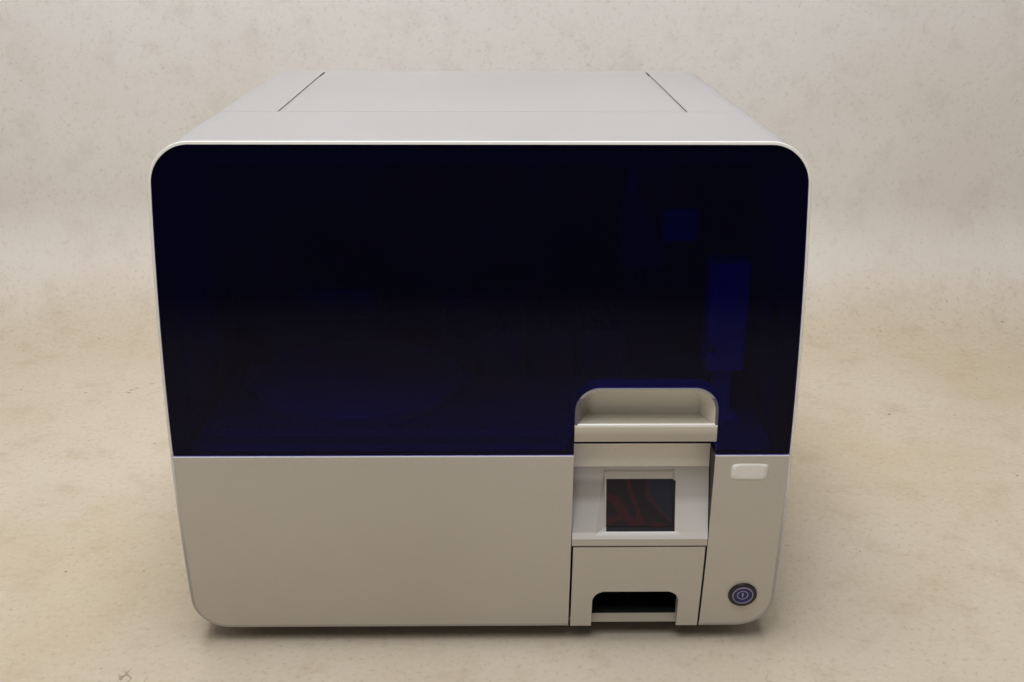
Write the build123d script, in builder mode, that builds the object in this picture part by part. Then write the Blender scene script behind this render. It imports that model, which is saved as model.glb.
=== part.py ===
"""Bench-top nucleic acid extractor: a bowed-front cabinet with a tinted lifting hood, a tilted
touchscreen, a waste drawer, a swing-out centrifuge, a tube shaker and a pipetting gantry.

Millimetres. +Z is up, the front faces -Y, +X is to the right of someone who stands before it.
The origin lies on the bench, under the middle of the machine.
"""

import math
import os

from build123d import *

# ---------------------------------------------------------------- overall cabinet
width = 650.0
depth = 620.0
height = 570.0
foot_height = 21.0
skin = 3.0  # wall of the painted covers
reveal = 0.6  # gap round the window and rear panel that are let into the covers
panel_reveal = 0.3  # gap round the lower front panels
bulge_radius = 1309.0  # the front is a shallow arc, seen from the side
bulge_height = 282.0  # height of the arc's foremost line
cover_corner = 40.0
rim_radius = 1.2  # rounding of the covers' front rim
bumper_reach = 18.0  # rubber spacers behind the covers

front_y = -depth / 2
rear_y = depth / 2
cover_rear_y = rear_y - bumper_reach

# ---------------------------------------------------------------- hood and its hinge
hood_bottom = 248.0
hood_seam_y = front_y + 220.0  # the hood's top skin ends here
hood_seam_corner = 30.0
seam_gap = 0.8
window_thickness = 4.0
window_corner = 3.0
hinge_y = rear_y - 48.0
hinge_z = height - 38.0
hinge_pin_radius = 5.0
running_gap = 0.06  # radial clearance of a pin in a hole
arm_x = width / 2 - 95.0
arm_thickness = 2.5
arm_eye_radius = 13.0
arm_recess = 0.8  # the arm's top edge lies this far below the cover
slot_width = 3.4
slot_rear_margin = 15.0
frame_thickness = 2.5
frame_depth = 45.0
bond_gap = 0.3
foot_plate_width = 20.0
foot_plate_length = 32.0

# ---------------------------------------------------------------- column of screen and drawer
column_width = 148.8
column_right = width / 2 - 80.7
column_left = column_right - column_width
cutout_top = hood_bottom + 75.5
cutout_corner = 26.0
handle_bar_top = hood_bottom + 33.5
handle_bar_bottom = hood_bottom + 15.0
handle_bar_depth = 10.0
handle_pocket_depth = 32.0
handle_wall = 2.5
handle_taper = 12.0  # the hollow narrows by this much at each side
handle_drop = 8.0  # its roof comes down by this much
bezel_gap = 0.8
bezel_wall = 4.0
bezel_bottom = hood_bottom - 113.5
bezel_lip_top = bezel_bottom + 8.5
bezel_kink = hood_bottom - 26.4
bezel_top = hood_bottom + 0.5
bezel_recess = 26.7  # the upper strip lies this far behind the foremost line
bezel_depth = 22.0
screen_x = column_left + 72.7
screen_width = 74.0
screen_height = 64.0
screen_rise = 4.0  # middle of the screen above the middle of the tilted face
screen_bevel_side = 1.0  # rim of the screen's recess at its top corners
screen_bevel_low = 8.0  # bevel under the screen
screen_bevel_spread = 10.0  # how far the lower bevel reaches past the screen's sides
glass_thickness = 2.0
glass_overlap = 3.0
display_thickness = 10.0

# ---------------------------------------------------------------- waste drawer
drawer_gap_left = 3.2
drawer_gap_right = 1.8
drawer_top_gap = 2.0
notch_left = column_left + 26.0
notch_right = column_left + 122.5
notch_top = 71.3
notch_corner = 14.0
tray_wall = 2.5
tray_side_gap = 9.0
tray_gap = 3.71  # from the drawer's front to its tray, at the bottom
tray_length = 330.0
tray_height = bezel_bottom - 36.5
tray_lip_top = 33.0
tray_floor_gap = 2.0
bay_wall = 2.0
bay_clearance = 3.0
bay_flange = 10.0
runner_height = 8.0
runner_z = 70.0
slide_gap = 0.3

# ---------------------------------------------------------------- base, frames and worktable
pan_thickness = 2.5
pan_half = width / 2 - 42.0
pan_front_y = front_y + 48.0
frame_wall = 3.0
frame_window = 60.0  # cut-outs in the base frame's sides
table_top = hood_bottom - 12.0
table_thickness = 4.0
table_half = width / 2 - 9.0
table_front_y = front_y + 14.0
sill_front_y = front_y + 54.0
sill_depth = 38.0
sill_height = 11.0
sill_left = 22.0 - width / 2
sill_right = column_left - 16.5
bulkhead_y = rear_y - 114.0
bulkhead_wall = 2.5
chamber_half = width / 2 - 25.0
chamber_wall = 2.5
chamber_front_y = hood_seam_y + 8.0
chamber_top = height - 50.0
beam_wall = 4.0
beam_front_y = rear_y - 74.0
beam_depth = 44.0
beam_height = 24.0
leg_width = 30.0

# ---------------------------------------------------------------- centrifuge
bowl_radius = 0.195 * depth
bowl_wall = 4.0
bowl_floor = table_top - 86.0
rotor_x = bowl_radius + 25.1 - chamber_half
rotor_y = sill_front_y + sill_depth + 9.1 + bowl_radius
shaft_radius = 6.0
rotor_radius = bowl_radius - 25.0
rotor_thickness = 14.0
rotor_z = table_top - 44.0
bucket_count = 12
bucket_circle = bowl_radius - 42.0
bucket_width = 17.0
bucket_depth = 20.0
bucket_height = 42.0
trunnion_length = 2.6
motor_radius = 52.0
motor_height = 78.0
lid_radius = bowl_radius + 6.1
lid_thickness = 12.0
lid_gap = 0.3
lid_pin_radius = 3.0
lid_knuckle_width = 80.0

# ---------------------------------------------------------------- shaker, racks and slots
shaker_x = 96.0 - chamber_half
shaker_y = bulkhead_y - 70.0
shaker_width = 128.0
shaker_depth = 0.148 * depth
shaker_base_height = 20.0
shaker_slide_height = 6.0
shaker_plate_height = 7.0
shaker_play = 0.3
tube_block_height = 34.0
tube_hole_radius = 5.5
tube_pitch = 22.0
reagent_x = rotor_x + 160.0
reagent_y = bulkhead_y - 70.0
reagent_pitch = 42.0
bottle_radius = 18.0
reagent_height = 44.0
reagent_floor = 5.0
rack_wall = 3.0
tip_rack_first_x = rotor_x + bowl_radius + 53.1
tip_rack_y = reagent_y - 136.0
tip_rack_pitch = 64.0
tip_rack_width = 56.0
tip_rack_depth = 100.0
tip_rack_height = 60.0
tip_pitch = 12.0
tip_hole = 7.0
tip_deck = 4.0
disposal_x = (column_left + column_right) / 2
disposal_y = front_y + 130.0
disposal_width = 84.0
disposal_depth = 42.0
chute_wall = 2.0

# ---------------------------------------------------------------- hood lock
lock_x = width / 2 - 54.5
lock_y = front_y + 125.0
lock_width = 43.0
lock_depth = 40.0
lock_z = hood_bottom + 132.0
lock_top = lock_z + 45.0
bolt_radius = 4.0
bolt_length = 30.0
bolt_proud = 4.0
striker_wall = 2.5
striker_size = 30.0
striker_x = width / 2 - 25.0
sensor_slot = 12.0
sensor_slot_depth = 14.0

# ---------------------------------------------------------------- gantry
rail_half = width / 2 - 50.0
rail_z = height - 108.0
rail_height = 20.0
rail_depth = 14.0
carriage_x = rail_half - 67.0
carriage_width = 70.0
carriage_lip = 11.0
carriage_body = 22.0
arm_beam_width = 36.0
arm_beam_height = 34.0
arm_beam_length = depth - 240.0
head_y = bulkhead_y - 116.0
head_width = 60.0
head_depth = 62.0
head_bottom = rail_z - 117.0
head_wall = 2.5
sleeve_wall = 5.0
sleeve_length = 56.0
pipette_radius = 8.0
pipette_bottom = head_bottom - 27.0
adapter_radius = 3.4
adapter_length = 26.0
pulley_radius = 10.0
pulley_x = rail_half - 13.0
pulley_z = height - 69.0
belt_thickness = 1.4
belt_width = 6.0
axle_radius = 3.0
stepper_size = 42.0
stepper_length = 34.0

# ---------------------------------------------------------------- power button
button_x = width / 2 - 36.0
button_z = 67.0
button_ring_radius = 16.0
button_cap_radius = 10.2
button_lip_radius = 11.7
button_lip = 0.4  # inner lip of the ring, above its face
button_ring_proud = 2.6
button_cap_proud = 1.8
button_cap_length = 12.0
button_gap = 0.35
switch_depth = 26.0

# ---------------------------------------------------------------- rear fittings
fan_x = 175.0 - width / 2
fan_z = 150.0
fan_size = 120.0
fan_depth = 25.0
fan_bore = 56.0
fan_hub_radius = 20.0
fan_blade_radius = 53.0
fan_blades = 7
inlet_x = width / 2 - 125.0
inlet_z = 70.0
inlet_width = 30.0
inlet_height = 24.0
inlet_depth = 22.0
vent_x = 60.0
vent_z = 340.0
vent_length = 150.0
vent_slot = 5.0
vent_pitch = 14.0
vent_count = 8
bumper_radius = 12.0
bumper_x = width / 2 - 75.0
bumper_z = height - 150.0
bumper_low_z = 110.0
foot_radius = 20.0
foot_x = width / 2 - 85.0
foot_y = rear_y - 90.0
screw_radius = 2.0
screw_head_radius = 3.8
screw_head_height = 2.2
screw_length = 7.0
supply_x = 25.0
supply_width = 130.0
supply_depth = 95.0
supply_height = 70.0
board_width = 220.0
board_height = 150.0
board_z = 345.0
board_thickness = 2.0
pillar_length = 6.0
pillar_inset = 10.0


# ================================================================ shared shapes
def front_face_y(z):
    """Y of the bowed front at height z."""
    return front_y + bulge_radius - math.sqrt(bulge_radius**2 - (z - bulge_height) ** 2)


def section_plane(y):
    """Upright plane across the machine at this Y. An extrusion from it runs to the front."""
    return Plane.XZ.offset(-y)


def span_box(x, y, z, mode=Mode.ADD):
    """Box between two values along each axis, in the active part."""
    with Locations(((x[0] + x[1]) / 2, (y[0] + y[1]) / 2, (z[0] + z[1]) / 2)):
        Box(x[1] - x[0], y[1] - y[0], z[1] - z[0], mode=mode)


def centred(middle, size):
    """Two ends of a span of this size about its middle."""
    return (middle - size / 2, middle + size / 2)


def side_profile(points, x, mode=Mode.ADD):
    """Closed outline of (y, z) points, carried from x[0] to x[1], in the active part."""
    with BuildSketch(Plane.YZ.offset(x[0])) as profile:
        Polygon(*points, align=None)
    extrude(profile.sketch, amount=x[1] - x[0], mode=mode)


def rod(start, radius, length, axis, mode=Mode.ADD):
    """Round bar from its start along +X, +Y or +Z, in the active part."""
    turn = {"x": (0, 90, 0), "y": (-90, 0, 0), "z": (0, 0, 0)}[axis]
    with Locations(start):
        Cylinder(
            radius,
            length,
            rotation=turn,
            align=(Align.CENTER, Align.CENTER, Align.MIN),
            mode=mode,
        )


def cover_outline(inset):
    """Front view of the cabinet, moved in by inset, in the active sketch."""
    with Locations((0, (height + foot_height) / 2)):
        Rectangle(width - 2 * inset, height - foot_height - 2 * inset)
    fillet(vertices(), cover_corner - inset)


def cover_ring(outer_inset, thickness, back_y):
    """Tube of the cabinet's outline from back_y to past the front, in the active part."""
    with BuildSketch(section_plane(back_y)) as ring:
        cover_outline(outer_inset)
    extrude(ring.sketch, amount=back_y - front_y + skin)
    with BuildSketch(section_plane(back_y)) as hollow:
        cover_outline(outer_inset + thickness)
    extrude(hollow.sketch, amount=back_y - front_y + skin, mode=Mode.SUBTRACT)


def bow(inset, mode):
    """Cylinder whose side is the bowed front moved back by inset, in the active part."""
    with Locations((0, front_y + bulge_radius, bulge_height)):
        Cylinder(bulge_radius - inset, 2 * width, rotation=(0, 90, 0), mode=mode)


def on_front_rim(edge):
    """Whether this edge runs along the covers' outermost line on the bowed front."""
    point = edge @ 0.5
    sideways = max(abs(point.X) - width / 2 + cover_corner, 0)
    upward = max(point.Z - height + cover_corner, foot_height + cover_corner - point.Z, 0)
    outermost = math.hypot(sideways, upward) > cover_corner - skin / 2
    return outermost and abs(point.Y - front_face_y(point.Z)) < 0.05


def cover_band():
    """Both painted covers as one closed band with a rounded front rim, in the active part."""
    cover_ring(0, skin, cover_rear_y)
    bow(0, Mode.INTERSECT)
    fillet(edges().filter_by(on_front_rim), rim_radius)


def front_skin(thickness, inset=0.0):
    """Cuts the active part to a skin that follows the bowed front."""
    bow(inset, Mode.INTERSECT)
    bow(inset + thickness, Mode.SUBTRACT)


def hood_region(grow, mode):
    """The hood's share of the cabinet, seen from the side and grown by grow."""
    low, back = hood_bottom - grow, hood_seam_y + grow
    ahead, high = front_y - skin, height + skin
    with BuildSketch(Plane.YZ.offset(-width)) as region:
        with Locations(((ahead + back) / 2, (low + high) / 2)):
            Rectangle(back - ahead, high - low)
        fillet(vertices().group_by(Axis.X)[-1].sort_by(Axis.Y)[0], hood_seam_corner + grow)
    extrude(region.sketch, amount=2 * width, mode=mode)


def handle_outline(inset, bottom):
    """Front view of the handle insert, moved in from the window's cut-out, in the sketch."""
    top = cutout_top - inset
    with Locations((cutout_middle, (top + bottom) / 2)):
        Rectangle(column_width - 2 * inset, top - bottom)
    fillet(vertices().group_by(Axis.Y)[-1], cutout_corner - inset)


def handle_hollow(inset, mode):
    """The handle's hollow above its bar, narrower at the back, its walls moved in by inset."""
    low = handle_bar_top - handle_wall + inset - bond_gap
    high = cutout_top - handle_drop - inset
    deep = front_y + handle_pocket_depth + handle_wall + bond_gap - inset
    with BuildSketch(section_plane(front_y - 0.2)) as mouth:
        handle_outline(inset, low)
    with BuildSketch(section_plane(deep)) as back:
        with Locations((cutout_middle, (high + low) / 2)):
            Rectangle(column_width - 2 * inset - 2 * handle_taper, high - low)
        fillet(vertices().group_by(Axis.Y)[-1], cutout_corner - inset)
    loft([mouth.sketch.face(), back.sketch.face()], mode=mode)


def screw(seat, axis, grip, side=1):
    """Pan-head screw from its seat along axis. The head stands on the far side of the seat."""
    step = {"x": Vector(1, 0, 0), "y": Vector(0, 1, 0), "z": Vector(0, 0, 1)}[axis]
    head_start = -screw_head_height if side > 0 else 0.0
    shank_start = 0.0 if side > 0 else -grip
    rod(Vector(*seat) + step * head_start, screw_head_radius, screw_head_height, axis)
    rod(Vector(*seat) + step * shank_start, screw_radius, grip, axis)


skin_reach = 80.0  # front skins are drawn this deep, from behind to past the foremost line
skin_plane = section_plane(front_y + skin_reach - skin)
cutout_middle = (column_left + column_right) / 2
inner_bottom = foot_height + skin
panel_top = hood_bottom - 1.0
edge_inset = skin + reveal

# ================================================================ hood
with BuildPart() as hood_shell:
    cover_band()
    hood_region(0, Mode.INTERSECT)

with BuildPart() as hood_window:
    with BuildSketch(skin_plane) as window_face:
        cover_outline(edge_inset)
        with Locations((0, hood_bottom - height / 2)):
            Rectangle(width, height, mode=Mode.SUBTRACT)
        fillet(vertices().group_by(Axis.Y)[0], window_corner)
    extrude(window_face.sketch, amount=skin_reach)
    with BuildSketch(skin_plane) as window_opening:
        handle_outline(0, hood_bottom - skin)
    extrude(window_opening.sketch, amount=skin_reach, mode=Mode.SUBTRACT)
    front_skin(window_thickness)

with BuildPart() as handle_flange:
    with BuildSketch(skin_plane) as flange_face:
        handle_outline(-2 * skin, handle_bar_top - handle_wall)
    extrude(flange_face.sketch, amount=skin_reach)
    with BuildSketch(skin_plane) as flange_opening:
        handle_outline(bond_gap + handle_wall, handle_bar_bottom)
    extrude(flange_opening.sketch, amount=skin_reach, mode=Mode.SUBTRACT)
    front_skin(handle_wall, window_thickness + bond_gap)

with BuildPart() as hood_handle:
    handle_hollow(bond_gap, Mode.ADD)
    # grip bar below the hollow's mouth
    span_box(
        (column_left + bond_gap, column_right - bond_gap),
        (front_y - skin, front_y + handle_bar_depth),
        (handle_bar_bottom, handle_bar_top),
    )
    bow(0, Mode.INTERSECT)
    handle_hollow(bond_gap + handle_wall, Mode.SUBTRACT)
    bar_edges = edges().filter_by(Axis.X)
    lower_edges = bar_edges.group_by(Axis.Z)[0]
    upper_edges = bar_edges.filter_by(lambda e: abs(e.center().Z - handle_bar_top) < 0.01)
    fillet(lower_edges.sort_by(Axis.Y)[-1], handle_bar_depth / 2)
    fillet(upper_edges.sort_by(Axis.Y)[0], handle_wall / 2)
    add(handle_flange.part)

frame_inset = skin + bond_gap
frame_start = window_thickness + bond_gap
with BuildPart() as frame_flange:
    with BuildSketch(skin_plane) as border:
        cover_outline(frame_inset + frame_thickness / 2)
    extrude(border.sketch, amount=skin_reach)
    with BuildSketch(skin_plane) as border_opening:
        cover_outline(frame_inset + foot_plate_width)
    extrude(border_opening.sketch, amount=skin_reach, mode=Mode.SUBTRACT)
    front_skin(frame_thickness, frame_start)

with BuildPart() as hood_frame:
    cover_ring(frame_inset, frame_thickness, front_y + skin_reach + frame_depth)
    front_skin(frame_depth, frame_start)
    add(frame_flange.part)
    span_box((-width, width), (front_y - skin, rear_y), (0, hood_bottom + bond_gap), Mode.SUBTRACT)

arm_top = height - arm_recess
arm_bottom = hinge_z + arm_eye_radius
arm_root_y = hood_seam_y - foot_plate_length


def hood_arm(x):
    """Flat arm at this x: a foot under the hood's top skin, a long bar and an eye."""
    root_top = height - skin - bond_gap
    side_profile(
        (
            (arm_root_y, root_top),
            (hood_seam_y + bond_gap, root_top),
            (hood_seam_y + bond_gap, arm_top),
            (hinge_y - 22, arm_top),
            (hinge_y + 9, hinge_z + 9),
            (hinge_y - 6, hinge_z - 9),
            (hinge_y - 30, arm_bottom),
            (arm_root_y, arm_bottom),
        ),
        centred(x, arm_thickness),
    )
    rod((x - arm_thickness / 2, hinge_y, hinge_z), arm_eye_radius, arm_thickness, "x")
    span_box(
        centred(x, foot_plate_width),
        (arm_root_y, hood_seam_y - bond_gap),
        (root_top - arm_thickness, root_top),
    )
    rod(
        (x - arm_thickness, hinge_y, hinge_z),
        hinge_pin_radius + running_gap,
        2 * arm_thickness,
        "x",
        Mode.SUBTRACT,
    )


with BuildPart() as hood_arm_left:
    hood_arm(-arm_x)

with BuildPart() as hood_arm_right:
    hood_arm(arm_x)

shaft_half = arm_x + 20
with BuildPart() as hinge_shaft:
    rod((-shaft_half, hinge_y, hinge_z), hinge_pin_radius, 2 * shaft_half, "x")
    chamfer(edges().filter_by(GeomType.CIRCLE), 1.0)

beam_top = hinge_z - arm_eye_radius - 4.3
ear_gap = 7.0
ear_wall = 4.0
with BuildPart() as hinge_brackets:
    for side in (-1, 1):
        for ear in (-1, 1):
            middle = side * arm_x + ear * (ear_gap + ear_wall / 2)
            side_profile(
                (
                    (hinge_y - 16, beam_top),
                    (hinge_y + 16, beam_top),
                    (hinge_y + 10, hinge_z + 10),
                    (hinge_y - 10, hinge_z + 10),
                ),
                centred(middle, ear_wall),
            )
        span_box(
            centred(side * arm_x, 2 * ear_gap + 2 * ear_wall),
            centred(hinge_y, 32),
            (beam_top, beam_top + 3),
        )
    bore_radius = hinge_pin_radius + running_gap
    rod((-width / 2, hinge_y, hinge_z), bore_radius, width, "x", Mode.SUBTRACT)

# ================================================================ covers and front panels
drawer_mouth = (column_left + panel_reveal, column_right - panel_reveal)
tray_front_y = front_face_y(foot_height) + skin + tray_gap
foot_spots = [(sx * foot_x, sy * foot_y) for sx in (-1, 1) for sy in (-1, 1)]
with BuildPart() as cabinet_cover:
    cover_band()
    hood_region(seam_gap, Mode.SUBTRACT)
    for side in (-1, 1):
        span_box(
            centred(side * arm_x, slot_width),
            (hood_seam_y - skin, cover_rear_y - slot_rear_margin),
            (height - 2 * skin, height + skin),
            Mode.SUBTRACT,
        )
    # the bottom skin stops short of the drawer's front
    span_box(
        drawer_mouth,
        (front_y, tray_front_y + tray_wall + 3),
        (0, inner_bottom + 1),
        Mode.SUBTRACT,
    )

return_depth = 46.0
flange_rear = front_y + 13.0


def front_panel(outer_x, column_x):
    """Lower front panel between the cover and the screen column, with its folded edges."""
    span = sorted((outer_x, column_x))
    fold = sorted((column_x, column_x + math.copysign(skin, outer_x - column_x)))
    with BuildSketch(skin_plane) as face:
        cover_outline(skin + panel_reveal)
        with Locations(((span[0] + span[1]) / 2, panel_top / 2)):
            Rectangle(span[1] - span[0], panel_top, mode=Mode.INTERSECT)
    extrude(face.sketch, amount=skin_reach)
    front_skin(skin)
    fillet(edges().filter_by(Axis.X).group_by(Axis.Z)[-1].sort_by(Axis.Y)[0], rim_radius)
    with BuildPart(mode=Mode.PRIVATE) as folds:
        fold_z = (inner_bottom + panel_reveal, panel_top)
        span_box(fold, (front_y, front_y + return_depth), fold_z)
        reach = (span[0] + (skin + 1) * (outer_x < 0), span[1] - (skin + 1) * (outer_x > 0))
        span_box(reach, (front_y, flange_rear), (panel_top - skin, panel_top))
        bow(skin * 0.8, Mode.INTERSECT)
    add(folds.part)


with BuildPart() as front_panel_left:
    front_panel(-width / 2, column_left)

button_y = front_face_y(button_z)
button_tilt = math.asin((button_z - bulge_height) / bulge_radius)
button_out = Vector(0, -math.cos(button_tilt), math.sin(button_tilt))
button_plane = Plane(origin=(button_x, button_y, button_z), x_dir=(1, 0, 0), z_dir=button_out)


def button_disc(radius, back, front, mode=Mode.ADD):
    """Disc about the button's axis from back to front, measured out of the panel's face."""
    with BuildSketch(button_plane.offset(back)) as disc:
        Circle(radius)
    extrude(disc.sketch, amount=front - back, mode=mode)


ring_barrel = button_cap_radius + button_gap + 1.6
with BuildPart() as front_panel_right:
    front_panel(width / 2, column_right)
    button_disc(ring_barrel + button_gap, -3 * skin, skin, Mode.SUBTRACT)

with BuildPart() as button_ring:
    button_disc(button_ring_radius, bond_gap, button_ring_proud)
    fillet(edges().filter_by(GeomType.CIRCLE).sort_by(Axis.Y)[0], 1.2)
    button_disc(button_lip_radius, bond_gap, button_ring_proud + button_lip)
    button_disc(ring_barrel, -switch_depth, bond_gap)
    button_disc(button_cap_radius + button_gap, -switch_depth + 3, 2 * skin, Mode.SUBTRACT)

with BuildPart() as button_cap:
    button_disc(button_cap_radius, -button_cap_length, button_cap_proud)
    fillet(edges().filter_by(GeomType.CIRCLE).sort_by(Axis.Y)[0], 0.8)

# ================================================================ screen column
bezel_x = (column_left + bezel_gap, column_right - bezel_gap)
strip_y = front_y + bezel_recess
bezel_back_y = strip_y + bezel_depth
lip_y = front_face_y(bezel_lip_top)
slope_run = strip_y - lip_y
slope_rise = bezel_kink - bezel_lip_top
slope_length = math.hypot(slope_run, slope_rise)
slope_in = (slope_rise / slope_length, -slope_run / slope_length)  # (y, z) into the column


def slope_point(height_z, inset):
    """(y, z) at this height on the tilted face moved inward by inset."""
    shift = inset * slope_length / slope_rise
    return (lip_y + (height_z - bezel_lip_top) * slope_run / slope_rise + shift, height_z)


slope_middle = (
    screen_x,
    (lip_y + strip_y) / 2 + screen_rise * slope_run / slope_length,
    (bezel_lip_top + bezel_kink) / 2 + screen_rise * slope_rise / slope_length,
)
slope_out = Vector(0, -slope_in[0], -slope_in[1])
slope_plane = Plane(origin=slope_middle, x_dir=(1, 0, 0), z_dir=slope_out)

with BuildPart() as screen_bezel:
    side_profile(
        (
            (front_face_y(bezel_bottom), bezel_bottom),
            (lip_y, bezel_lip_top),
            (strip_y, bezel_kink),
            (strip_y, bezel_top),
            (bezel_back_y, bezel_top),
            (bezel_back_y, bezel_bottom),
        ),
        bezel_x,
    )
    wall = bezel_wall
    side_profile(
        (
            slope_point(bezel_bottom + wall, wall),
            slope_point(bezel_kink, wall),
            (strip_y + wall, bezel_kink),
            (strip_y + wall, bezel_top - wall),
            (bezel_back_y + wall, bezel_top - wall),
            (bezel_back_y + wall, bezel_bottom + wall),
        ),
        (bezel_x[0] + wall, bezel_x[1] - wall),
        Mode.SUBTRACT,
    )
    # recess round the screen: shallow at its top, with a wide bevel below it
    top_half = screen_width / 2 + screen_bevel_side
    low_half = screen_width / 2 + screen_bevel_spread
    with BuildSketch(slope_plane) as bevel_mouth:
        Polygon(
            (-top_half, screen_height / 2 + screen_bevel_side),
            (top_half, screen_height / 2 + screen_bevel_side),
            (low_half, -screen_height / 2 - screen_bevel_low),
            (-low_half, -screen_height / 2 - screen_bevel_low),
            align=None,
        )
    with BuildSketch(slope_plane.offset(-wall * 0.75)) as bevel_floor:
        Rectangle(screen_width, screen_height)
    loft([bevel_mouth.sketch.face(), bevel_floor.sketch.face()], mode=Mode.SUBTRACT)
    with BuildSketch(slope_plane.offset(-1.5 * wall)) as pane_hole:
        Rectangle(screen_width, screen_height)
    extrude(pane_hole.sketch, amount=2 * wall, mode=Mode.SUBTRACT)

with BuildPart() as touch_glass:
    with BuildSketch(slope_plane.offset(-wall - bond_gap)) as pane:
        Rectangle(screen_width + 2 * glass_overlap, screen_height + 2 * glass_overlap)
    extrude(pane.sketch, amount=-glass_thickness)

with BuildPart() as display_module:
    with BuildSketch(slope_plane.offset(-wall - 2 * bond_gap - glass_thickness)) as panel:
        Rectangle(screen_width + 2 * glass_overlap + 6, screen_height + 2 * glass_overlap)
    extrude(panel.sketch, amount=-display_thickness)
    with BuildSketch(slope_plane.offset(-wall - glass_thickness - display_thickness)) as board:
        Rectangle(screen_width - 14, screen_height - 10)
    extrude(board.sketch, amount=-4)

# ================================================================ waste drawer
drawer_x = (column_left + drawer_gap_left, column_right - drawer_gap_right)
drawer_top = bezel_bottom - drawer_top_gap
tray_x = (drawer_x[0] + tray_side_gap, drawer_x[1] - tray_side_gap)
bay_floor = inner_bottom + bond_gap + pan_thickness + bond_gap
tray_bottom = bay_floor + bay_wall + tray_floor_gap
tray_top = tray_bottom + tray_height


def notch_shape(grow):
    """Finger notch, open at the bottom, in the active sketch."""
    with Locations(((notch_left + notch_right) / 2, notch_top / 2)):
        Rectangle(notch_right - notch_left + 2 * grow, notch_top + 2 * grow)
    fillet(vertices().group_by(Axis.Y)[-1], notch_corner)


with BuildPart() as drawer_front:
    with BuildSketch(skin_plane) as drawer_face:
        with Locations((cutout_middle, (foot_height + drawer_top) / 2)):
            Rectangle(drawer_x[1] - drawer_x[0], drawer_top - foot_height)
    extrude(drawer_face.sketch, amount=skin_reach)
    front_skin(skin)
    with BuildPart(mode=Mode.PRIVATE) as drawer_folds:
        for fold_x in (drawer_x[0] + skin / 2, drawer_x[1] - skin / 2):
            span_box(
                centred(fold_x, skin),
                (front_y, tray_front_y - bond_gap),
                (foot_height, drawer_top),
            )
        span_box(
            drawer_x,
            (front_y, tray_front_y - bond_gap),
            (drawer_top - skin, drawer_top),
        )
        bow(skin / 2, Mode.INTERSECT)
    add(drawer_folds.part)
    with BuildSketch(skin_plane) as drawer_notch:
        notch_shape(0)
    extrude(drawer_notch.sketch, amount=skin_reach + skin, mode=Mode.SUBTRACT)

tray_y = (tray_front_y, tray_front_y + tray_length)
rim = bay_clearance - slide_gap
with BuildPart() as drawer_tray:
    span_box(tray_x, tray_y, (tray_bottom, tray_top))
    inside_x = (tray_x[0] + tray_wall, tray_x[1] - tray_wall)
    inside_y = (tray_y[0] + tray_wall, tray_y[1] - tray_wall)
    span_box(inside_x, inside_y, (tray_bottom + tray_wall, tray_top + 1), Mode.SUBTRACT)
    # the front plate reaches down past the floor and out to the front's folds
    span_box(drawer_x, (tray_y[0], tray_y[0] + tray_wall), (foot_height + 0.5, tray_top))
    with BuildSketch(section_plane(tray_y[0] + 2 * tray_wall)) as tray_notch:
        notch_shape(0)
        with Locations((cutout_middle, tray_lip_top / 2)):
            Rectangle(width, tray_lip_top, mode=Mode.SUBTRACT)
    extrude(tray_notch.sketch, amount=3 * tray_wall, mode=Mode.SUBTRACT)
    # side rims that run on the bay's runners
    for rim_x in ((tray_x[0] - rim, tray_x[0]), (tray_x[1], tray_x[1] + rim)):
        rim_low = runner_z + runner_height + slide_gap
        span_box(rim_x, (tray_y[0] + 20, tray_y[1]), (rim_low, rim_low + 4))

bay_y = (pan_front_y + 2, tray_y[1] + 12)
bay_inner = (tray_x[0] - bay_clearance, tray_x[1] + bay_clearance)
bay_top = tray_top + 3
with BuildPart() as drawer_bay:
    span_box((bay_inner[0] - bay_wall, bay_inner[1] + bay_wall), bay_y, (bay_floor, bay_top))
    span_box(bay_inner, (bay_y[0] - 1, bay_y[1] - bay_wall), (bay_floor + bay_wall, bay_top + 1), Mode.SUBTRACT)
    span_box((bay_inner[0] - bay_flange, bay_inner[0] - bay_wall / 2), bay_y, (bay_floor, bay_floor + bay_wall))
    span_box((bay_inner[1] + bay_wall / 2, bay_inner[1] + bay_flange), bay_y, (bay_floor, bay_floor + bay_wall))
    for runner_x in ((bay_inner[0], bay_inner[0] + rim), (bay_inner[1] - rim, bay_inner[1])):
        span_box(runner_x, (bay_y[0] + 8, bay_y[1] - bay_wall), (runner_z, runner_z + runner_height))

# ================================================================ base frame and rear frame
pan_z = inner_bottom + bond_gap
table_bottom = table_top - table_thickness
base_rear_y = cover_rear_y - 12
with BuildPart() as base_frame:
    span_box((-pan_half, pan_half), (pan_front_y, base_rear_y), (pan_z, pan_z + pan_thickness))
    for side in (-1, 1):
        wall_x = sorted((side * pan_half, side * (pan_half - frame_wall)))
        span_box(wall_x, (pan_front_y, base_rear_y), (pan_z, table_bottom - bond_gap))
        span_box(
            sorted((side * pan_half, side * (pan_half - 2 * frame_wall))),
            (pan_front_y, beam_front_y - 1),
            (table_bottom - bond_gap - frame_wall, table_bottom - bond_gap),
        )
        with BuildSketch(Plane.YZ.offset(wall_x[0] - 1)) as windows:
            with Locations((0, (pan_z + table_bottom) / 2)):
                with GridLocations(2 * frame_window, 1, 3, 1):
                    RectangleRounded(frame_window, frame_window, frame_window / 4)
        extrude(windows.sketch, amount=frame_wall + 2, mode=Mode.SUBTRACT)

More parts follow.
